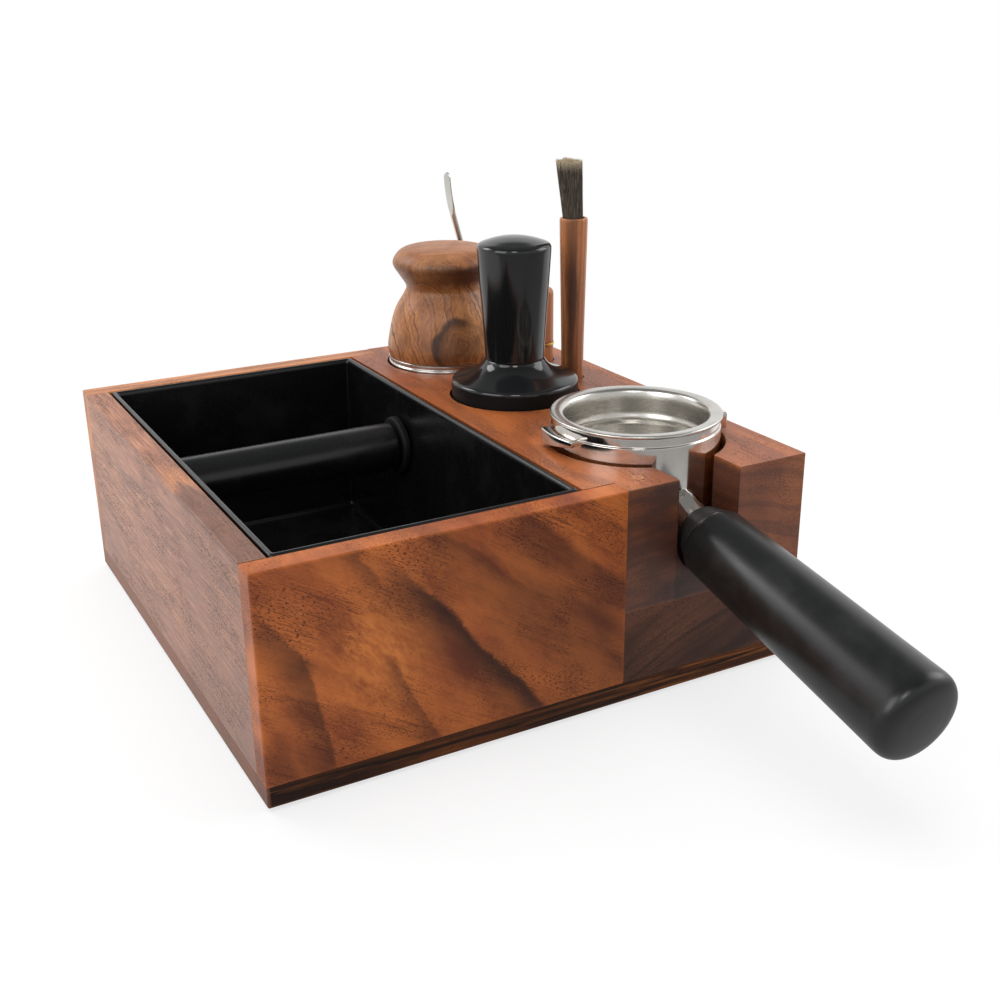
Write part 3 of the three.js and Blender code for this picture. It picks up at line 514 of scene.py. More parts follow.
# Foot pads
# Four soft round pads stuck under the corners of the base board, so that it neither slides nor
# scratches. Dark silicone with a faint dusty bloom.
def moulded(name, base, rough, grain, bump, bloom=0.0, shine=0.5):
    """Black moulded stuff: a fine mould texture at grain per metre, and a bloom of dust or handling."""
    material, here = new_material(name)
    texture = speckle(here, (grain,) * 3, detail=3.0, rough=0.6)
    haze = speckle(here, (46.0, 46.0, 46.0), detail=4.0, rough=0.62)
    rubbed = fade(haze, 0.44, 0.72)
    plain = colour(*base)
    pale = tuple(value + 0.035 for value in plain[:3]) + (1.0,)
    shown = tint(times(rubbed, bloom), plain, pale)
    roughness = times_plus(texture, 0.10, rough - 0.05)
    roughness = times_plus(rubbed, 0.08, roughness)
    return finished(material, {
        "Base Color": shown, "Roughness": roughness, "Normal": relief(texture, 0.3, bump),
        "Specular IOR Level": shine})


silicone = moulded("dark_silicone", (40, 40, 41), 0.72, 3500.0, 0.05, bloom=0.7)
PAD_RADIUS = 8.0
PAD_HEIGHT = 1.5
pad = eased([(0, 0, 0), (PAD_RADIUS, 0, 0.4), (PAD_RADIUS, PAD_HEIGHT, 0.3), (0, PAD_HEIGHT, 0)])
for number in range(1, 5):
    lathe(f"foot_pad_{number}", "stuck", pad, silicone, 48)


# Front panel
# A flat-sawn acacia board across the tray's front, glued on edge to the base. Honey brown, with
# near-black bands that fall to the right, each crisp above and fading below, and short dark pores.
def window(value, foot, top, edge, end):
    """Climbs from 0 at foot to 1 at top and falls back to 0 between edge and end."""
    return times(fade(value, foot, top), fall(value, edge, end))


def make_dark_band():
    group, given, result = shade_group(
        "dark_band",
        {"Vector": "Vector", "Start": "Vector", "Along": "Vector", "Across": "Vector", "Length": "Float",
         "Fading": "Float", "Crisp": "Float"},
        {"Mask": "Float"})
    flat = vectors("MULTIPLY", given["Vector"], (1.0, 0.25, 1.0))
    slow = minus(speckle(flat, (0.03, 0.03, 0.03), detail=2.0), 0.5)
    quick = minus(speckle(flat, (0.6, 0.3, 0.6), detail=4.0, rough=0.7), 0.5)
    way = vectors("SUBTRACT", flat, given["Start"])
    across = vectors("DOT_PRODUCT", way, given["Across"])
    across = times_plus(slow, 9.0, across)
    across = times_plus(quick, 3.0, across)
    along = maths("DIVIDE", vectors("DOT_PRODUCT", way, given["Along"]), given["Length"])
    below = fade(maths("DIVIDE", across, given["Fading"]), -1.0, 0.0)
    above = fall(maths("DIVIDE", across, given["Crisp"]), 0.0, 1.0)
    ends = window(along, -0.12, 0.16, 0.86, 1.14)
    group.links.new(times(below, above, ends), result["Mask"])
    return group


dark_band = make_dark_band()
BAND_COLOUR = (44, 24, 19)
# Each band: start x, start z, end x, end z from the box's left lower corner, in millimetres, the widths
# over which it fades below and above, and its strength
FRONT_BANDS = [
    (52, 80, 111, 5, 22.0, 2.6, 0.66),
    (60, 70, 111, 5, 7.0, 2.0, 0.70),
    (3, 71, 20, 50, 13.0, 1.8, 0.54),
    (16, 56, 27, 4, 17.0, 1.6, 0.58),
    (48, 47, 66, 6, 8.0, 1.4, 0.50),
    (98, 91, 149, 44, 26.0, 4.0, 0.56),
    (64, 93, 103, 59, 24.0, 2.2, 0.44),
    (34, 92, 46, 76, 8.0, 2.0, 0.45),
    (98, 60, 152, 18, 40.0, 14.0, 0.50),
    (2, 26, 20, 0, 20.0, 8.0, 0.34),
]
GOLDEN_PATCH = Vector((45.0, 0.0, 50.0))
panel_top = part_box("front_panel")[1].z


def front_figure(here, shown):
    in_mm = millimetres(here)
    down_band = vectors("DOT_PRODUCT", in_mm, (0.62, 0.0, -0.79))
    off_band = vectors("DOT_PRODUCT", in_mm, (0.79, 0.0, 0.62))
    by_band = join(down_band, split(in_mm)[1], off_band)
    mottle = speckle(by_band, (0.032, 0.02, 0.075), detail=4.0, rough=0.58)
    from_patch = vectors("SUBTRACT", in_mm, station_low / MM + GOLDEN_PATCH)
    away = vectors("LENGTH", vectors("MULTIPLY", from_patch, (1 / 20, 0.0, 1 / 24)))
    flecks = speckle(by_band, (0.16, 0.1, 0.42), detail=4.0, rough=0.65)
    shown = coats(
        shown,
        (fade(mottle, 0.48, 0.68, 0.0, 0.5), (192, 108, 52)),
        (fade(mottle, 0.50, 0.28, 0.0, 0.70), (108, 47, 27)),
        (times(fall(away, 0.1, 1.4), fade(flecks, 0.40, 0.62, 0.1, 0.6)), (212, 128, 62)))
    face = fade(split(here)[2], panel_top - 1.2 * MM, panel_top - 0.2 * MM, 1.0, 0.3)
    for x0, z0, x1, z1, fading, crisp, strength in FRONT_BANDS:
        way = Vector((x1 - x0, 0.0, z1 - z0))
        along = way.normalized()
        mask = use_group(dark_band, {
            "Vector": in_mm, "Start": Vector((station_low.x / MM + x0, 0.0, station_low.z / MM + z0)),
            "Along": along, "Across": Vector((-along.z, 0.0, along.x)), "Length": way.length,
            "Fading": fading, "Crisp": crisp})["Mask"]
        shown = coats(shown, (times(mask, face, strength), BAND_COLOUR))
    return shown


front_material = oiled_wood(
    "banded_acacia", (0, -32, 0), (0, 70, 40), (178, 98, 46), (148, 76, 38), (88, 43, 25),
    ring=11.0, depth=0.30, wander=36.0, fibre=0.85, pores=0.9, worn="front_panel",
    figure=front_figure, sheen=0.2)
board("front_panel", front_material, ["-z", "+x", "-x +y"])


# Left and back panels
# Two more acacia boards, with their long grain lying level. The left one is pinkish, and turns dark
# and pored towards the front along its upper edge; the back one is pale honey.
def left_figure_and_painted_shade(here, shown):
    in_mm = millimetres(here, station_low)
    spread = minus(speckle(in_mm, (0.5, 0.09, 0.3), detail=4.0, rough=0.65), 0.5)
    at = split(in_mm)
    slant = times_plus(maths("ABSOLUTE", minus(at[0], 4.5)), 2.2, at[1])
    forward = times_plus(spread, 26.0, slant)
    dark_end = fall(forward, 86.0, 96.0)
    pale_vee = window(forward, 95.0, 99.0, 102.0, 124.0)
    upper = fade(at[2], 85.0, 88.0, 0.06, 0.62)
    streak = speckle(in_mm, (1.5, 0.045, 1.1), detail=4.0, rough=0.62)
    return coats(
        shown,
        (fade(streak, 0.52, 0.66, 0.0, 0.6), (100, 57, 43)),
        (fade(streak, 0.48, 0.34, 0.0, 0.6), (204, 144, 106)),
        # Painted shade: the face darkens towards the front and towards its foot.
        (fade(at[1], 0.0, 170.0, 0.34, 0.0), (92, 58, 46)),
        (fade(at[2], 8.0, 50.0, 0.24, 0.0), (92, 60, 48)),
        (times(pale_vee, upper, 0.7), (190, 124, 76)),
        (times(dark_end, upper), (78, 46, 34)))


left_material = oiled_wood(
    "pink_acacia", (0, 2, -90), (0, 150, 60), (166, 108, 76), (146, 92, 65), (82, 48, 36),
    ring=3.0, depth=0.3, wander=8.0, fibre=1.25, pores=1.0, worn="left_panel", figure=left_figure_and_painted_shade, sheen=0.56)
board("left_panel", left_material, ["-z", "-y", "+y"])
back_material = oiled_wood(
    "pale_acacia", (0, 3, 0), (0, 160, 40), (192, 124, 76), (150, 88, 52), (88, 50, 34),
    ring=8.0, depth=0.5, wander=18.0, fibre=0.5, pores=0.7, worn="back_panel")
board("back_panel", back_material, ["-z", "+x", "-x -y"])


# Risers
# A frame of dark acacia strips under the block, which lifts it to the height of the panels.
# The front strip shows below the notch; the partition stands beside the tray, out of sight.
# The front and back strips are dark acacia with their colour set darker still, as painted shade below the
# notch.
riser_material_with_painted_shade = oiled_wood(
    "dark_acacia_painted_shade", (0, 22, 0), (0, 60, 90), (106, 66, 48), (68, 42, 32), (40, 25, 20),
    ring=9.0, depth=0.6, wander=40.0, fibre=0.8, pores=0.7, worn="riser_front", sheen=0.2)
board("riser_front", riser_material_with_painted_shade, ["-z", "+z", "-x", "+x +y"], ease=0.5)
board("riser_back", riser_material_with_painted_shade, ["-z", "+z", "-x", "+x -y"], ease=0.5)
ALONG_Y = (0, 0, -90)
riser_side_material = oiled_wood(
    "dark_long_acacia", ALONG_Y, (0, 60, 90), (104, 62, 42), (68, 38, 28), (40, 23, 18),
    ring=8.0, depth=0.6, wander=24.0, fibre=0.5, pores=0.4)
board("riser_right", riser_side_material, ["-z", "+z", "-y", "+y"], ease=0.5)
board("riser_partition", riser_side_material, ["-z", "+z", "-y", "+y"], ease=0.4)


# Station block
# One thick block of reddish acacia with its grain running front to back. Round pockets are milled
# for the portafilter, tamper and distributor, holes bored for the slim tools, a notch cut in front.
NOTCH_RADIUS = 14.4 * MM
HANDLE_DROP = 25.9
RABBET = 13.5
PAST = 1.0 * MM
POCKET_DEPTH = 40.3
POCKET_RADIUS = 37.0
PEN_HOLE_IN = (16.0, 11.0, 0.0)
block_low, block_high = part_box("station_block")
panel_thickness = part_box("front_panel")[1].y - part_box("front_panel")[0].y


def milled(at, depth, radius, steps):
    """A round cutter that goes down into the block by depth, in millimetres."""
    bm = bmesh.new()
    length = depth * MM + PAST
    middle = block_high.z - depth * MM + length / 2
    bmesh.ops.create_cone(bm, cap_ends=True, segments=steps, radius1=radius * MM, radius2=radius * MM,
                          depth=length, matrix=Matrix.Translation((at.x, at.y, middle)))
    return bm


def sawn(low, high):
    """A square block or cutter between two corners."""
    bm = bmesh.new()
    stretch = Matrix.Diagonal((*(high - low), 1))
    bmesh.ops.create_cube(bm, size=1.0, matrix=Matrix.Translation((low + high) / 2) @ stretch)
    return bm


portafilter_at = foot_of("filter_basket")
tamper_at = foot_of("tamper_base")
distributor_at = foot_of("distributor_base")
brush_at = foot_of("brush_handle")
needle_at = foot_of("needle_tool_stem")
plug_at = foot_of("cheek_plug")
pen_hole = station_high - Vector(PEN_HOLE_IN) * MM
handle_z = block_high.z - HANDLE_DROP * MM
rabbet = Vector((RABBET * MM, panel_thickness, block_high.z - block_low.z))
back_rabbet = Vector((block_low.x, block_high.y - panel_thickness, block_low.z))
notch_round = bmesh.new()
notch_length = portafilter_at.y - block_low.y + PAST
bmesh.ops.create_cone(
    notch_round, cap_ends=True, segments=96, radius1=NOTCH_RADIUS, radius2=NOTCH_RADIUS, depth=notch_length,
    matrix=Matrix.Translation((portafilter_at.x, portafilter_at.y - notch_length / 2, handle_z))
    @ Matrix.Rotation(pi / 2, 4, "X"))
# The other round cuts: where, and depth and radius, in millimetres, and segments
ROUND_CUTS = [
    (tamper_at, 5.0, 30.0, 128), (distributor_at, 9.0, 30.0, 128), (brush_at, 40.0, 5.8, 48),
    (needle_at, 22.0, 7.0, 48), (needle_at, 42.0, 5.0, 48), (pen_hole, 30.0, 6.0, 48),
    (plug_at, 8.1, 2.4, 40),
]


def end_grain_and_painted_shade(here, shown):
    """Sawn faces drink more oil, so the front's end grain is darker all over. Painted shade makes it nearly
    black on the left cheek and leaves it red brown on the right, and painted shade leaves the notch dull
    brown inside."""
    at = split(here)
    front = fall(at[1], block_low.y + 0.3 * MM, block_low.y + 1.0 * MM)
    drift = speckle(here, (60.0, 60.0, 150.0), detail=3.0)
    left = fall(at[0], portafilter_at.x - 12 * MM, portafilter_at.x + 16 * MM)
    depth = times(times_plus(left, 0.58, 0.22), fade(drift, 0.25, 0.7, 0.75, 1.1))
    shown = coats(shown, (times(front, depth), (46, 25, 20)))
    aside = maths("ABSOLUTE", minus(at[0], portafilter_at.x))
    inside = fade(aside, NOTCH_RADIUS + 0.1 * MM, NOTCH_RADIUS + 0.5 * MM, 0.92, 0.0)
    ahead = fall(at[1], portafilter_at.y - 34.5 * MM, portafilter_at.y - 33.5 * MM)
    below = fall(at[2], block_high.z - 1.4 * MM, block_high.z - 0.5 * MM)
    return tint(times(inside, ahead, below), shown, colour(180, 196, 250), mode="MULTIPLY")


block_material = oiled_wood(
    "red_acacia", (0, 2, -90), (0, 60, 128), (172, 96, 46), (142, 74, 36), (88, 44, 26),
    ring=5.5, depth=0.45, wander=12.0, fibre=1.15, pores=0.9, worn="station_block", figure=end_grain_and_painted_shade,
    sheen=0.54)
block_piece = show("station_block", "milled", sawn(block_low, block_high), block_material)
carve(block_piece, [
    sawn(block_low - Vector((PAST, PAST, PAST)), block_low + rabbet + Vector((0, 0, PAST))),
    sawn(back_rabbet - Vector((PAST, 0, PAST)), back_rabbet + rabbet + Vector((0, PAST, PAST))),
    milled(portafilter_at, POCKET_DEPTH, POCKET_RADIUS, 128),
    sawn(Vector((portafilter_at.x - NOTCH_RADIUS, block_low.y - PAST, handle_z)),
         Vector((portafilter_at.x + NOTCH_RADIUS, portafilter_at.y, block_high.z + PAST))),
    notch_round,
    *[milled(*cut) for cut in ROUND_CUTS],
])
soften(block_piece, 0.45)


# Cheek plug
# A small round dowel glued into a hole in the block's left cheek and sanded flush.
# Its pale glue line shows as a thin ring.
def plug_ring(here, shown):
    away = vectors("LENGTH", vectors("MULTIPLY", millimetres(here, plug_at), (1.0, 1.0, 0.0)))
    ring = window(away, 1.45, 1.75, 2.15, 2.3)
    return coats(shown, (times(ring, 0.5), (206, 156, 106)))


plug_material = oiled_wood(
    "dowel_acacia", (0, 15, -60), (0, 8, 4), (166, 90, 44), (144, 74, 36), (100, 52, 32),
    ring=2.0, depth=0.4, wander=2.0, fibre=0.5, pores=0.4, figure=plug_ring)
PLUG_RADIUS = 2.25
PLUG_LENGTH = 8.0
plug = eased([(0, 0, 0), (PLUG_RADIUS, 0, 0.2), (PLUG_RADIUS, PLUG_LENGTH, 0.12), (0, PLUG_LENGTH, 0)])
lathe("cheek_plug", "glued", plug, plug_material, 48)


# Knock tray
# A deep tray moulded in satin black plastic. Its walls lean out to a rounded rim that stands just
# inside the wooden box, and it lifts straight out to be emptied.
tray_low, tray_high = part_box("knock_tray")
tray_size = tray_high - tray_low
TRAY_CORNER = 1.2
# Up the outside, over the rim and down the inside: how far in from the rim and how high, in millimetres
TRAY_STATIONS = [
    (4.6, 0.0), (3.5, 0.25), (2.95, 0.8), (2.77, 1.6), (0.93, 74.6), (0.6, 74.85), (0.22, 75.0),
    (0.04, 75.3), (0.0, 75.8), (0.0, 78.9), (0.1, 79.35), (0.35, 79.68), (0.7, 79.86), (1.1, 79.9),
    (1.5, 79.84), (1.85, 79.65), (2.15, 79.3), (2.35, 78.8), (2.6, 77.6), (4.86, 6.2), (5.0, 4.6),
    (5.5, 3.3), (6.4, 2.65), (7.6, 2.5),
]


def drawn(bm, sections):
    """Draws a flat outline through a row of placings, as a bar is drawn through dies, closed at both ends."""
    bm.faces.ensure_lookup_table()
    face = bm.faces[0]
    bmesh.ops.transform(bm, matrix=sections[0], verts=bm.verts)
    for number, (before, after) in enumerate(zip(sections, sections[1:])):
        grown = bmesh.ops.extrude_face_region(bm, geom=[face])["geom"]
        if number:
            bmesh.ops.delete(bm, geom=[face], context="FACES_ONLY")
        face = next(item for item in grown if isinstance(item, bmesh.types.BMFace))
        bmesh.ops.transform(bm, matrix=after @ before.inverted(), verts=face.verts[:])
    return bm


tray_shell = bmesh.new()
bmesh.ops.create_grid(tray_shell, x_segments=1, y_segments=1, size=0.5)
bmesh.ops.scale(tray_shell, vec=(tray_size.x, tray_size.y, 1.0), verts=tray_shell.verts)
bmesh.ops.bevel(tray_shell, geom=tray_shell.verts[:], offset=TRAY_CORNER * MM, segments=8, profile=0.5,
                affect="VERTICES", material=-1)
tray_sections = []
for inset, height in TRAY_STATIONS:
    shrink = (1 - 2 * inset * MM / tray_size.x, 1 - 2 * inset * MM / tray_size.y, 1.0, 1.0)
    lift = Matrix.Translation(foot_of("knock_tray") + Vector((0, 0, height * MM)))
    tray_sections.append(lift @ Matrix.Diagonal(shrink))
tray_material = moulded("satin_black_tray", (10, 10, 11), 0.26, 2600.0, 0.010, bloom=0.06)
tray_bm = drawn(tray_shell, tray_sections)
keep_flat(show("knock_tray", "moulded", tray_bm, tray_material, 40.0))


# Knock bar
# A steel rod in a thick rubber sleeve, held between round flanges by a screw through each side wall.
# The sleeve's ends are rounded over; the rubber is satin black and a little scuffed on top.
def dress(node, material):
    """Gives a CAD node that is kept as it is a better material."""
    for slot in frame["nodes"][node].material_slots:
        slot.material = material


bar_low, bar_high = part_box("bar_sleeve")
bar_half = (bar_high.x - bar_low.x) / 2 / MM
bar_middle = (bar_low + bar_high) / 2
bar_axis = Matrix.Translation(bar_middle) @ Matrix.Rotation(pi / 2, 4, "Y")
bar_material = moulded("scuffed_rubber", (11, 12, 13), 0.26, 2200.0, 0.012, bloom=0.12)
SLEEVE_BORE = 6.3
SLEEVE_RADIUS = 11.25
sleeve = eased([
    (SLEEVE_BORE, -bar_half, 0), (SLEEVE_RADIUS, -bar_half, 2.6), (SLEEVE_RADIUS, bar_half, 2.6),
    (SLEEVE_BORE, bar_half, 0), (SLEEVE_BORE, -bar_half, 0)])
lathe("bar_sleeve", "rubber", sleeve, bar_material, at=bar_axis)
dress("bar_rod", zinc)
flange_material = moulded("matt_black_flange", (9, 9, 9), 0.62, 2600.0, 0.012, bloom=0.02, shine=0.22)
FLANGE_BORE = 2.8
FLANGE_RADIUS = 13.5
BOLT_SHANK = 2.5
BOLT_HEAD = 5.0
BOLT_HEAD_DEPTH = 1.2
for side, way in (("right", 1), ("left", -1)):
    low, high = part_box(f"bar_flange_{side}")
    inner, outer = (low.x, high.x) if way > 0 else (high.x, low.x)
    thick = abs(outer - inner) / MM
    turn = Matrix.Rotation(way * pi / 2, 4, "Y")
    at = Matrix.Translation((inner, bar_middle.y, bar_middle.z)) @ turn
    disc = eased([(FLANGE_BORE, 0, 0), (FLANGE_RADIUS, 0, 1.6), (FLANGE_RADIUS, thick, 0.2),
                  (FLANGE_BORE, thick, 0), (FLANGE_BORE, 0, 0)])
    lathe(f"bar_flange_{side}", "moulded", disc, flange_material, 64, at)
    low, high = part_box(f"bar_screw_{side}")
    tip = low.x if way > 0 else high.x
    length = (high.x - low.x) / MM
    at = Matrix.Translation((tip, bar_middle.y, bar_middle.z)) @ turn
    neck = length - BOLT_HEAD_DEPTH
    bolt = eased([(0, 0, 0), (BOLT_SHANK, 0, 0.4), (BOLT_SHANK, neck, 0.1), (BOLT_HEAD, neck, 0.2),
                  (BOLT_HEAD, length, 0.7), (0, length, 0)])
    screw = lathe(f"bar_screw_{side}", "driven", bolt, zinc, 40, at)
    carve(screw, cross_slots(at @ Matrix.Translation((0, 0, length * MM)), 5.0, 0.7))


# Tamper
# A 58 mm flat-faced base with a concave bell, and a flared handle screwed down on a stud. Both are
# gloss black; the base's straight wall is left matt where it slides in the basket.
def flowing(points, steps=6):
    """A smooth outline through (radius, height) points."""
    padded = [Vector(points[0])] + [Vector(point) for point in points] + [Vector(points[-1])]
    outline = []
    for a, b, c, d in zip(padded, padded[1:], padded[2:], padded[3:]):
        for step in range(steps):
            t = step / steps
            bend, twist = a * 2 - b * 5 + c * 4 - d, b * 3 - a - c * 3 + d
            outline.append(tuple((b * 2 + (c - a) * t + bend * t ** 2 + twist * t ** 3) / 2))
    return outline + [tuple(points[-1])]


def gloss_black(name, matt_top):
    """Gloss black lacquer, with fine rub marks; below matt_top the wall is left matt."""
    material, here = new_material(name)
    height = split(here)[2]
    matt = fall(height, matt_top - 0.4 * MM, matt_top + 0.2 * MM)
    haze = speckle(here, (60.0, 60.0, 40.0), detail=4.0, rough=0.65)
    rubs = speckle(here, (260.0, 260.0, 1400.0), detail=2.0)
    shown = coats(
        colour(23, 24, 25), (matt, (12, 12, 12)), (times(fade(haze, 0.55, 0.75), 0.25), (34, 35, 37)))
    gloss = times_plus(fade(haze, 0.4, 0.75), 0.06, 0.08)
    gloss = times_plus(rubs, 0.03, gloss)
    roughness = times_plus(matt, 0.36, gloss)
    return finished(material, {
        "Base Color": shown, "Roughness": roughness, "Normal": relief(haze, 0.12, 0.05),
        "Specular IOR Level": times_plus(matt, -0.36, 0.5)})


MATT_WALL = 10.9
TAMPER_BORE = 4.3
TAMPER_RADIUS = 29.0
tamper_material = gloss_black("tamper_lacquer", tamper_at.z + MATT_WALL * MM)
tamper_base = [
    *eased([(0, 0, 0), (TAMPER_RADIUS, 0, 0.5), (TAMPER_RADIUS, 12.3, 1.4), (26.0, 13.35, 1.2)])[:-1],
    *flowing([(26.9, 13.05), (23.0, 14.5), (19.2, 16.1), (16.3, 17.9), (14.5, 19.8), (13.6, 21.3)]),
    (13.4, 21.5), (TAMPER_BORE, 21.5), (TAMPER_BORE, 9.2), (0, 9.2)]
lathe("tamper_base", "turned", tamper_base, tamper_material, 128, sharp=40.0)
tamper_handle = [
    (0, 12.3), (TAMPER_BORE, 12.3), (TAMPER_BORE, 0), (13.2, 0), (13.35, 0.1), (13.4, 0.3),
    *flowing([(13.4, 1.2), (13.9, 10.0), (14.7, 22.0), (15.6, 34.0), (16.4, 46.0), (16.6, 49.4)]),
    (16.58, 50.1), (16.42, 50.75), (16.1, 51.3), (15.6, 51.75), (14.95, 52.12), (14.2, 52.42),
    *flowing([(13.3, 52.72), (10.0, 53.75), (6.0, 54.6), (2.5, 54.95), (0, 55.0)])]
lathe("tamper_handle", "turned", tamper_handle, tamper_material, 128, sharp=40.0)
dress("tamper_stud", zinc)


# Distributor
# A polished steel levelling disc with three sloping fins below and two bright lips above, and a waisted
# handle turned from figured wood, whose dark lines swirl round a knot low on its front.
polished = steel_finish(
    "polished_steel", (206, 203, 198), 0.18, (60.0, 60.0, 7000.0), smudge=0.08, bump=0.004)
KNOB_BORE = 3.3
disc = eased([
    (0, 0, 0), (28.6, 0, 0.2), (29.0, 0.4, 0.2), (29.0, 9.7, 0.25), (28.45, 10.15, 0.2), (28.45, 10.95, 0.2),
    (29.0, 11.4, 0.25), (29.0, 12.4, 0.3), (KNOB_BORE, 12.4, 0), (KNOB_BORE, 5.1, 0), (0, 5.1, 0)], steps=3)
disc_piece = lathe("distributor_base", "turned", disc, polished, 128)
FIN_DROP = 3.2
FIN_REACH = 29.0
fin_cuts = []
for third in range(3):
    wedge = sawn(Vector((-40, 0, -2)) * MM, Vector((40, FIN_REACH, 6)) * MM)
    planes = [(Vector((0, 0, FIN_DROP * MM)), Vector((0, FIN_DROP, FIN_REACH))),
              (Vector((0, 0, 0)), Vector((-sin(radians(120)), cos(radians(120)), 0)))]
    for point, outward in planes:
        cut = bmesh.ops.bisect_plane(wedge, geom=wedge.verts[:] + wedge.edges[:] + wedge.faces[:],
                                     plane_co=point, plane_no=outward, clear_outer=True)
        rim = [item for item in cut["geom_cut"] if isinstance(item, bmesh.types.BMEdge)]
        bmesh.ops.edgeloop_fill(wedge, edges=rim)
    turn = Matrix.Translation(distributor_at) @ Matrix.Rotation(third * 2 * pi / 3, 4, "Z")
    bmesh.ops.transform(wedge, matrix=turn, verts=wedge.verts)
    fin_cuts.append(wedge)
carve(disc_piece, fin_cuts)

knob = [(0, 7.3), (KNOB_BORE, 7.3), (KNOB_BORE, 0), (28.4, 0),
        *flowing([(28.9, 0.8), (29.15, 6.48), (25.75, 21.06), (20.3, 30.78), (19.3, 34.56), (22.55, 39.96),
                  (25.4, 44.82), (24.38, 48.6), (20.3, 52.1), (11.4, 53.62), (5.0, 53.9)]), (0, 54.0)]
knot = station_low + Vector((166.5, 174.1, 101.0)) * MM
KNOT_SIZE = 8.0
# Level directions to the camera's right and away from it
TO_RIGHT = Vector((0.875, -0.484, 0.0))
TO_BACK = Vector((0.484, 0.875, 0.0))


def swirl_and_painted_shade(here, shown):
    in_mm = millimetres(here, knot)
    waves = {"Vector": in_mm, "Scale": 0.06, "Detail": 3.0}
    wavy = place(owner(here), "ShaderNodeTexNoise", waves).outputs["Color"]
    bent = vectors("MULTIPLY", vectors("SUBTRACT", wavy, (0.5, 0.5, 0.5)), (11.0, 11.0, 11.0))
    bent = vectors("ADD", in_mm, bent)
    side = vectors("DOT_PRODUCT", bent, TO_RIGHT)
    back = vectors("DOT_PRODUCT", bent, TO_BACK)
    height = split(bent)[2]
    square = times_plus(side, side, times(height, height))
    away = maths("SQRT", square)
    part = minus(1.0, maths("DIVIDE", KNOT_SIZE ** 2, maths("MAXIMUM", square, KNOT_SIZE ** 2)))
    flow = times_plus(height, 0.38, times(side, part))
    upper = fade(height, 24.0, 36.0)
    flow = maths("ADD", times(flow, minus(1.0, upper)), times(back, upper))
    lines = layers(times(flow, 0.6), 6.0, 0.75)
    blotch = speckle(bent, (0.09, 0.09, 0.06), detail=3.0)
    threads = speckle(bent, (1.1, 1.1, 0.16), detail=4.0, rough=0.7)
    outside = fade(away, KNOT_SIZE * 0.9, KNOT_SIZE * 1.4)
    left = fade(times_plus(height, 0.5, times(side, -1.0)), -5.0, 6.0)
    core = fade(layers(times(away, 0.5), 3.0), 0.3, 0.6, 0.3, 0.75)
    right = fade(side, -20.0, 2.0, 0.3, 0.9)
    return coats(
        shown,
        (fade(threads, 0.50, 0.60, 0.0, 0.5), (118, 62, 34)),
        (fade(blotch, 0.46, 0.66, 0.0, 0.55), (112, 66, 38)),
        (times(outside, fade(lines, 0.50, 0.64, 0.0, 0.85)), (84, 44, 25)),
        (times(outside, fade(lines, 0.46, 0.30, 0.0, 0.45)), (206, 148, 98)),
        (times(window(away, 6.5, 11.5, 12.0, 14.0), left, 0.85), (46, 25, 17)),
        (times(fall(away, 6.0, 11.0), core), (84, 46, 28)),
        (fade(height, 34.0, 40.0, 0.0, 0.45), (122, 72, 44)),
        # Painted shade: a dark band under the cap, on its right side.
        (times(window(height, 25.0, 31.0, 36.0, 40.0), right), (70, 38, 24)))


ALONG_Z = (0, 90, 0)
knob_material = oiled_wood(
    "swirled_wood", ALONG_Z, (0, 30, 20), (198, 138, 86), (176, 114, 66), (120, 70, 42),
    ring=9.0, depth=0.3, wander=16.0, fibre=0.7, pores=0.35, figure=swirl_and_painted_shade)
lathe("distributor_handle", "turned", knob, knob_material, 128)
dress("distributor_stud", zinc)


# Portafilter body
# A heavy chromed ring with two locking lugs, a groove under its rim and a neck that carries the handle.
# The filter basket hangs in it by its rim, gripped by a wire spring in a groove.
BORE = 30.45
RING = 34.75
RING_FOOT = -40.2
RING_TOP = 10.4
deck = Vector((portafilter_at.x, portafilter_at.y, block_high.z))
deck_at = Matrix.Translation(deck)
chrome = steel_finish(
    "worn_chrome", (222, 218, 212), 0.10, (50.0, 50.0, 6000.0), smudge=0.04, bump=0.001)
basket_top = (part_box("filter_basket")[1].z - deck.z) / MM
spring_z = basket_top - 13.0
groove_top, groove_foot = spring_z + 0.75, spring_z - 0.75
ring = eased([
    (BORE + 0.5, RING_FOOT, 0), (RING - 2, RING_FOOT, 0.8), (RING, RING_FOOT + 5, 1.2), (RING, 6.55, 0.25),
    (RING - 0.6, 6.95, 0.3), (RING - 0.6, RING_TOP, 0.5), (BORE, RING_TOP, 0.3), (BORE, groove_top, 0),
    (BORE + 1.5, groove_top, 0), (BORE + 1.5, groove_foot, 0), (BORE, groove_foot, 0),
    (BORE, RING_FOOT + 0.5, 0.2), (BORE + 0.5, RING_FOOT, 0)], steps=3)
body_piece = lathe("portafilter_body", "cast", ring, chrome, 160, deck_at)

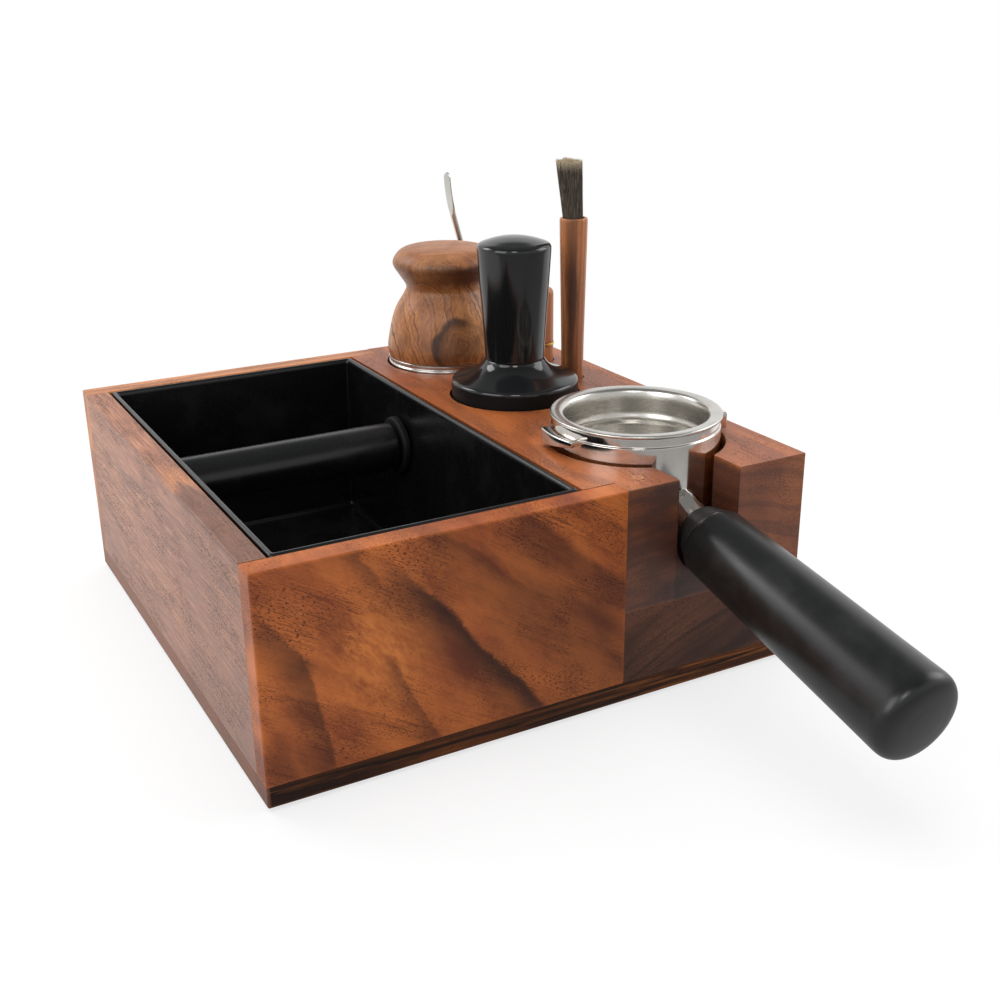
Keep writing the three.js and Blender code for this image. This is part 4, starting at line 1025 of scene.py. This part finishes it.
LUG_ROOT = 32.6
LUG_REACH = 40.0
LUG_HALF_ANGLE = radians(17)
LUG_TOP = 7.7
LUG_FOOT = 0.8
LUG_RAMP = 4.4
LUG_STEPS = 14
lugs = []
for turn in (0.0, pi):
    lug = bmesh.new()
    corners = [(LUG_ROOT, 0.0), (LUG_REACH, 0.0), (LUG_REACH, 1.0), (LUG_ROOT, 1.0)]
    lug.faces.new([lug.verts.new((radius * MM, 0.0, height * MM)) for radius, height in corners])
    places = []
    for step in range(LUG_STEPS + 1):
        share = step / LUG_STEPS
        foot = (LUG_FOOT + LUG_RAMP * share) * MM
        height = LUG_TOP * MM - foot
        rise = Matrix.Translation((0, 0, foot)) @ Matrix.Diagonal((1, 1, height / MM, 1))
        places.append(deck_at @ Matrix.Rotation(turn + LUG_HALF_ANGLE * (2 * share - 1), 4, "Z") @ rise)
    drawn(lug, places)
    bmesh.ops.recalc_face_normals(lug, faces=lug.faces)
    ends = [edge for edge in lug.edges if edge.calc_face_angle() > radians(60)]
    bmesh.ops.bevel(lug, geom=ends, offset=0.55 * MM, segments=3, profile=0.5, affect="EDGES", material=-1)
    lugs.append(lug)

HANDLE_TILT = 11.5
handle_from = (Matrix.Translation((deck.x, station_low.y, handle_z))
               @ Matrix.Rotation(radians(90 + HANDLE_TILT), 4, "X"))
# Neck sections: distance along the handle, half width and half height, in millimetres
NECK = [(-20.6, 8.6, 11.4), (-18.0, 8.2, 10.9), (-15.0, 8.0, 10.2), (-12.0, 8.0, 9.3), (-9.0, 8.0, 8.7),
        (-6.3, 8.0, 8.5)]
neck = bmesh.new()
bmesh.ops.create_circle(neck, cap_ends=True, segments=48, radius=1.0)
neck_sections = []
for along, half_width, half_height in NECK:
    size = Matrix.Diagonal((half_width * MM, half_height * MM, 1.0, 1.0))
    neck_sections.append(handle_from @ Matrix.Translation((0, 0, along * MM)) @ size)
drawn(neck, neck_sections)
carve(body_piece, lugs + [neck], operation="UNION")
clear_foot, clear_top, clear_bore = RING_FOOT - 5, spring_z - 1.2, BORE + 0.2
bore_outline = [(0, clear_foot), (clear_bore, clear_foot), (clear_bore, clear_top), (0, clear_top)]
carve(body_piece, [turned(bore_outline, deck_at, 160)])
dress("basket_spring", zinc)


# Filter basket
# A cup pressed from thin polished steel, with a rolled rim that hangs on the ring and a ridge pressed
# in below it for the spring. Its floor is finely perforated.
def basket_finish():
    material = steel_finish(
        "pressed_steel", (212, 209, 203), 0.27, (40.0, 40.0, 5200.0), smudge=0.02, bump=0.001)
    tree = material.node_tree
    finish = next(node for node in tree.nodes if node.type == "BSDF_PRINCIPLED")
    here = place(tree, "ShaderNodeTexCoord").outputs["Object"]
    away = vectors("SUBTRACT", here, portafilter_at)
    grid = {"Vector": vectors("MULTIPLY", away, (900.0, 900.0, 0.0)), "Scale": 1.0, "Randomness": 0.0}
    hole = fall(place(tree, "ShaderNodeTexVoronoi", grid).outputs["Distance"], 0.17, 0.24)
    radius = vectors("LENGTH", vectors("MULTIPLY", away, (1.0, 1.0, 0.0)))
    height = split(away)[2]
    inner = fall(radius, 22.5 * MM, 23.5 * MM)
    hole = times(hole, inner, fall(height, 1.2 * MM, 1.6 * MM))
    plain = finish.inputs["Base Color"].links[0].from_socket
    tree.links.new(tint(hole, plain, (0.012, 0.010, 0.008, 1.0)), finish.inputs["Base Color"])
    return material


rim_foot = basket_top - 1.5
cup_foot = basket_top - 27.0
WALL = 0.9
cup = eased([
    (0, cup_foot, 0), (28.75, cup_foot, 3.4), (29.3, spring_z - 4.5, 2.0), (29.95, spring_z - 2.4, 0.9),
    (29.2, spring_z, 1.2), (30.15, spring_z + 2.4, 0.9), (30.15, rim_foot, 0.1), (35.3, rim_foot, 0.7),
    (35.3, basket_top, 0.8), (33.0, basket_top, 0.5), (30.2, basket_top - 0.35, 1.2),
    (29.25, basket_top - 3.2, 1.6), (29.25, spring_z + 2.4, 0.9), (28.3, spring_z, 1.2),
    (29.0, spring_z - 2.4, 0.9), (27.85, cup_foot + WALL, 3.2), (0, cup_foot + WALL, 0)])
lathe("filter_basket", "pressed", cup, basket_finish(), 160, deck_at, 50.0)


# Handle
# A conical black collar screwed against the neck, then a long grip that swells slightly to a rounded
# end, all on one steel stud. Satin black, faintly polished by the hand.
grip_material = moulded("satin_black_grip", (18, 19, 19), 0.30, 3000.0, 0.012, bloom=0.2)
collar_material = moulded("matt_black_collar", (26, 25, 24), 0.5, 2600.0, 0.03, bloom=0.3)
STUD_BORE = 5.2
collar = eased([(STUD_BORE, -6.0, 0), (10.2, -6.0, 1.0), (11.2, -3.4, 0.8), (13.0, 2.8, 0.35),
                (STUD_BORE, 2.8, 0), (STUD_BORE, -6.0, 0)])
lathe("handle_collar", "turned", collar, collar_material, at=handle_from)
grip = [(0, 60.3), (STUD_BORE, 60.3), (STUD_BORE, 3.1), (13.0, 3.1), (13.5, 3.25), (13.9, 3.7), (14.2, 4.5),
        *flowing([(14.38, 5.6), (14.9, 24.0), (15.6, 46.0), (16.2, 66.0), (16.9, 92.0), (17.35, 108.0),
                  (17.4, 112.0), (16.95, 114.2), (15.8, 115.9), (14.0, 117.0), (11.0, 117.8), (6.0, 118.35)]),
        (0, 118.5)]
lathe("handle_grip", "turned", grip, grip_material, 128, handle_from, 50.0)
dress("handle_stud", zinc)


# Brush
# A slim turned wooden handle that stands in its hole, with a tuft of dark natural hair glued in its
# upper end. The hair fans out and leans a little, pale at the tips, with an uneven wavy end.
def brush_painted_shade(here, shown):
    from_axis = millimetres(here, brush_at)
    wobble = minus(speckle(from_axis, (0.25, 0.25, 0.035), detail=3.0), 0.5)
    across = times_plus(wobble, 5.0, vectors("DOT_PRODUCT", from_axis, TO_RIGHT))
    height = split(from_axis)[2]
    # Painted shade: a dark streak down the middle of the handle as seen from the camera, and a darker red
    # right side.
    streak = times(window(across, -3.8, -1.4, 0.0, 3.0), fade(height, 40.0, 75.0, 0.7, 0.95),
                   fade(height, 86.0, 112.0, 1.0, 0.62))
    painted_shade_right_side = times(fade(across, 0.5, 3.5), fade(height, 100.0, 70.0, 0.05, 0.3))
    return coats(shown, (streak, (84, 51, 37)), (painted_shade_right_side, (122, 64, 44)))


brush_material = oiled_wood(
    "brush_handle_wood", ALONG_Z, (0, 6, 10), (220, 152, 98), (186, 118, 72), (112, 64, 41),
    ring=1.7, depth=0.5, wander=5.0, fibre=1.0, pores=0.5, figure=brush_painted_shade)
BRUSH_LENGTH = 115.2
SOCKET = 5.03
SOCKET_FLOOR = BRUSH_LENGTH - 6
brush_handle = eased([
    (0, 0, 0), (5.3, 0, 0.7), (5.3, 56.0, 6.0), (6.35, 106.0, 4.0), (6.5, BRUSH_LENGTH - 0.6, 0.5),
    (6.1, BRUSH_LENGTH, 0.3), (SOCKET, BRUSH_LENGTH, 0.2), (SOCKET, SOCKET_FLOOR, 0), (0, SOCKET_FLOOR, 0)])
lathe("brush_handle", "turned", brush_handle, brush_material, 64)


def hair_finish(low, high):
    """Natural hair: dark brown-grey, each strand its own tone, pale and dry towards the tips."""
    material, here = new_material("natural_hair")
    strand = speckle(here, (2600.0, 2600.0, 60.0), detail=1.0)
    height = split(here)[2]
    ragged = times_plus(minus(strand, 0.5), 6 * MM, height)
    tip = fade(ragged, high - 7 * MM, high - 0.5 * MM)
    shown = coats(
        colour(54, 48, 41), (fade(strand, 0.3, 0.7), (122, 111, 97)), (times(tip, 0.9), (214, 198, 172)),
        # Painted shade: the hair is darkened over its lowest 9 mm, where the tuft enters the handle.
        (fade(height, low, low + 9 * MM, 0.45, 0.0), (26, 23, 20)))
    roughness = times_plus(strand, 0.2, 0.45)
    return finished(material, {"Base Color": shown, "Roughness": roughness, "Specular IOR Level": 0.35})


random.seed(58)
STRANDS = 1500
STRAND_RADIUS = 0.10
STRAND_PIECES = 4
TUFT_ROOT = 4.35
TUFT_SPREAD = 1.36
TUFT_LEAN = -2.8
hair_low, hair_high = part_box("brush_bristles")
hair_root = hair_low.z + 1.0 * MM
hair_length = hair_high.z - hair_root
hair_curve = bpy.data.curves.new("hair", "CURVE")
hair_curve.dimensions = "3D"
hair_curve.bevel_depth = STRAND_RADIUS * MM
hair_curve.bevel_resolution = 0
hair_curve.use_fill_caps = True
golden_turn = pi * (3 - 5 ** 0.5)
for number in range(STRANDS):
    out = ((number + 0.5) / STRANDS) ** 0.5
    turn = number * golden_turn
    x, y = TUFT_ROOT * out * cos(turn), TUFT_ROOT * out * sin(turn)
    wave = 0.978 + 0.016 * sin(1.45 * x + 0.6) + 0.006 * sin(2.3 * y) - 0.008 * out ** 2
    length = wave - random.random() * 0.035
    sway_x, sway_y = random.uniform(-0.35, 0.35), random.uniform(-0.35, 0.35)
    spline = hair_curve.splines.new("POLY")
    spline.points.add(STRAND_PIECES)
    for step, point in enumerate(spline.points):
        share = step / STRAND_PIECES * length
        grow = 1 + (TUFT_SPREAD - 1) * share
        point.co = (brush_at.x + (x * grow + (TUFT_LEAN * share + sway_x * share ** 2)) * MM,
                    brush_at.y + (y * grow + sway_y * share ** 2) * MM, hair_root + hair_length * share, 1.0)
        point.radius = 1.0 - 0.45 * (step / STRAND_PIECES) ** 2
hair_object = bpy.data.objects.new("hair", hair_curve)
bpy.context.scene.collection.objects.link(hair_object)
hair_mesh = settled_mesh(hair_object)
bpy.data.objects.remove(hair_object)
hair = bmesh.new()
hair.from_mesh(hair_mesh)
bpy.data.meshes.remove(hair_mesh)
hair_material = hair_finish(hair_low.z, hair_high.z)
show("brush_bristles", "tuft", hair, hair_material, 80.0, name="brush_tuft")


# Needle tool
# A short turned tool for stirring the coffee, standing needles down in its hole: a light wooden stem,
# a thin brass ring and a light wooden grip with a rounded top, held on a spigot.
needle_material = oiled_wood(
    "light_turned_wood", ALONG_Z, (0, 9, 5), (206, 138, 84), (178, 106, 60), (120, 66, 40),
    ring=2.4, depth=0.45, wander=5.0, fibre=0.5, pores=0.4)
stem = eased([(0, 4.3, 0), (4.6, 4.3, 0), (4.6, 0, 0.2), (6.5, 0, 0.5), (6.5, 29.9, 0.25), (3.0, 29.9, 0),
              (3.0, 37.9, 0), (0, 37.9, 0)])
lathe("needle_tool_stem", "turned", stem, needle_material, 64)
brass = steel_finish("ring_brass", (216, 170, 92), 0.2, (80.0, 80.0, 4000.0), smudge=0.1)
band = eased([(3.3, 0, 0), (6.9, 0, 0.3), (6.9, 1.3, 0.3), (3.3, 1.3, 0), (3.3, 0, 0)])
lathe("needle_tool_ring", "turned", band, brass, 64)
cap = eased([(0, 6.9, 0), (3.3, 6.9, 0), (3.3, 0, 0), (6.5, 0, 0.25), (6.5, 27.0, 3.4), (0, 27.0, 0)],
            steps=8)
lathe("needle_tool_handle", "turned", cap, needle_material, 64)
dress("needle_tool_needles", polished)


# Pen
# A thin steel rod for drawing on milk foam, ground to a point below and hammered flat and curved
# above. It leans in a hole much wider than itself.
PEN_RADIUS = 1.5
PEN_LENGTH = 99.0
PEN_TIP = 22.0
PEN_CURL = 3.3
PEN_TURN = 15.0
PEN_TIP_WIDTH = 5.0
PEN_TIP_THICK = 1.2
PEN_LEAN = 15.524
PEN_STEPS = 24
PEN_FOOT = Vector((4.125, 0.0, -29.7))
pen_from = (Matrix.Translation(Vector((pen_hole.x, pen_hole.y, block_high.z)) + PEN_FOOT * MM)
            @ Matrix.Rotation(radians(-PEN_LEAN), 4, "Y") @ Matrix.Rotation(radians(PEN_TURN), 4, "Z"))


def pen_section(along, half_thick, half_width, sideways=0.0):
    at = Matrix.Translation((sideways * MM, 0, along * MM))
    return pen_from @ at @ Matrix.Diagonal((half_thick * MM, half_width * MM, 1.0, 1.0))


pen_sections = [pen_section(0, 0.2, 0.2), pen_section(0.4, 0.5, 0.5), pen_section(6, PEN_RADIUS, PEN_RADIUS),
                pen_section(PEN_LENGTH - 2, PEN_RADIUS, PEN_RADIUS)]
for step in range(PEN_STEPS + 1):
    share = sin(step / PEN_STEPS * pi / 2)
    flat = min(1.0, share * 4)
    flat = flat * flat * (3 - 2 * flat)
    close = max(0.05, 1 - max(0.0, (share - 0.88) / 0.12) ** 2) ** 0.5
    thick = PEN_RADIUS + (PEN_TIP_THICK / 2 - PEN_RADIUS) * flat
    wide = (PEN_RADIUS + (PEN_TIP_WIDTH / 2 - PEN_RADIUS) * flat) * close
    thick = thick * (0.6 + 0.4 * close)
    pen_sections.append(pen_section(PEN_LENGTH + PEN_TIP * share, thick, wide, PEN_CURL * share ** 2))
pen_rod = bmesh.new()
bmesh.ops.create_circle(pen_rod, cap_ends=True, segments=32, radius=1.0)
show("latte_pen", "drawn", drawn(pen_rod, pen_sections), polished, 50.0)


# Stage
# A white floor, a bright backdrop behind and a darker room in front; a wide soft box overhead, smaller
# ones left, right and behind, and one in front that only gloss mirrors. The camera stands front left.
scene = bpy.context.scene
scene.view_settings.view_transform = "Standard"


def in_mirrors(path):
    """1 for the rays that gloss and glass send on."""
    return maths("MAXIMUM", path["Is Glossy Ray"], path["Is Transmission Ray"])


floor_shape = bmesh.new()
bmesh.ops.create_grid(floor_shape, x_segments=1, y_segments=1, size=6.0)
floor = stand("floor", floor_shape)
floor_material, here = new_material("white_floor")
tree = floor_material.node_tree
path = place(tree, "ShaderNodeLightPath").outputs
mirrored = in_mirrors(path)
seen = maths("MAXIMUM", path["Is Camera Ray"], mirrored)
far = fade(vectors("LENGTH", vectors("SUBTRACT", here, (0.0, 0.06, 0.0))), 0.22, 0.55)
glow = times(seen, times_plus(far, 0.28, 0.72))
dim = times(mirrored, fade(split(here)[1], -0.12, 0.0, 0.58, 0.0))
glow = maths("MAXIMUM", glow, dim)
white = place(tree, "ShaderNodeEmission", {"Color": (1.0, 1.0, 1.0, 1.0), "Strength": minus(1.0, dim)})
paper = place(tree, "ShaderNodeBsdfDiffuse", {"Color": (0.86, 0.86, 0.86, 1.0)})
mixed = place(tree, "ShaderNodeMixShader", {0: glow, 1: paper.outputs[0], 2: white.outputs[0]})
place(tree, "ShaderNodeOutputMaterial", {"Surface": mixed.outputs[0]})
floor.data.materials.append(floor_material)

BACKDROP_WAY = Vector((0.48, 0.877, 0.0))
world = bpy.data.worlds.new("studio")
scene.world = world
world.use_nodes = True
tree = world.node_tree
tree.nodes.clear()
way = place(tree, "ShaderNodeTexCoord").outputs["Generated"]
path = place(tree, "ShaderNodeLightPath").outputs
behind = fade(vectors("DOT_PRODUCT", way, BACKDROP_WAY), -0.5, 0.1, 0.72, 1.0)
room = times(behind, fade(split(way)[2], 0.55, 0.69, 1.0, 0.24))
shiny = in_mirrors(path)
level = maths("ADD", times(room, shiny), times(0.42, minus(1.0, shiny)))
level = maths("MAXIMUM", level, path["Is Camera Ray"])
sky = place(tree, "ShaderNodeBackground", {"Color": (1.0, 1.0, 1.0, 1.0), "Strength": level})
place(tree, "ShaderNodeOutputWorld", {"Surface": sky.outputs[0]})

# Each lamp: name, place, size, power, whether gloss mirrors it and whether it lights plain surfaces;
# all look at the middle of the station
LAMPS = [
    ("soft_box_above", (0.10, 0.30, 1.35), 1.5, 17.0, False, True),
    ("soft_box_left", (-1.35, -0.35, 0.85), 1.0, 9.0, True, True),
    ("soft_box_right", (1.25, -0.25, 0.75), 0.8, 5.5, True, True),
    ("soft_box_behind", (-0.70, 0.92, 0.90), 0.55, 5.0, True, True),
    ("soft_box_front", (-0.75, -1.45, 1.35), 0.5, 6.0, True, False),
]
aim = Vector((0.0, 0.03, 0.06))
for name, spot, size, power, in_gloss, lighting in LAMPS:
    lamp = bpy.data.lights.new(name, "AREA")
    lamp.shape = "SQUARE"
    lamp.size = size
    lamp.energy = power
    holder = bpy.data.objects.new(name, lamp)
    holder.location = spot
    holder.rotation_euler = (aim - Vector(spot)).to_track_quat("-Z", "Y").to_euler()
    holder.visible_glossy = in_gloss
    holder.visible_diffuse = lighting
    scene.collection.objects.link(holder)

LOOK = Vector((0.44722, 0.81693, -0.36417))
RIGHT = Vector((0.87524, -0.48358, -0.00995))
UP = Vector((0.18423, 0.31429, 0.93128))
camera = bpy.data.cameras.new("camera")
camera.sensor_width = 36.0
camera.lens = 46.33
camera_object = bpy.data.objects.new("camera", camera)
eye = station_low + Vector((-108.0, -364.5, 258.2)) * MM
camera_object.matrix_world = Matrix.Translation(eye) @ Matrix((RIGHT, UP, -LOOK)).transposed().to_4x4()
scene.collection.objects.link(camera_object)
scene.camera = camera_object
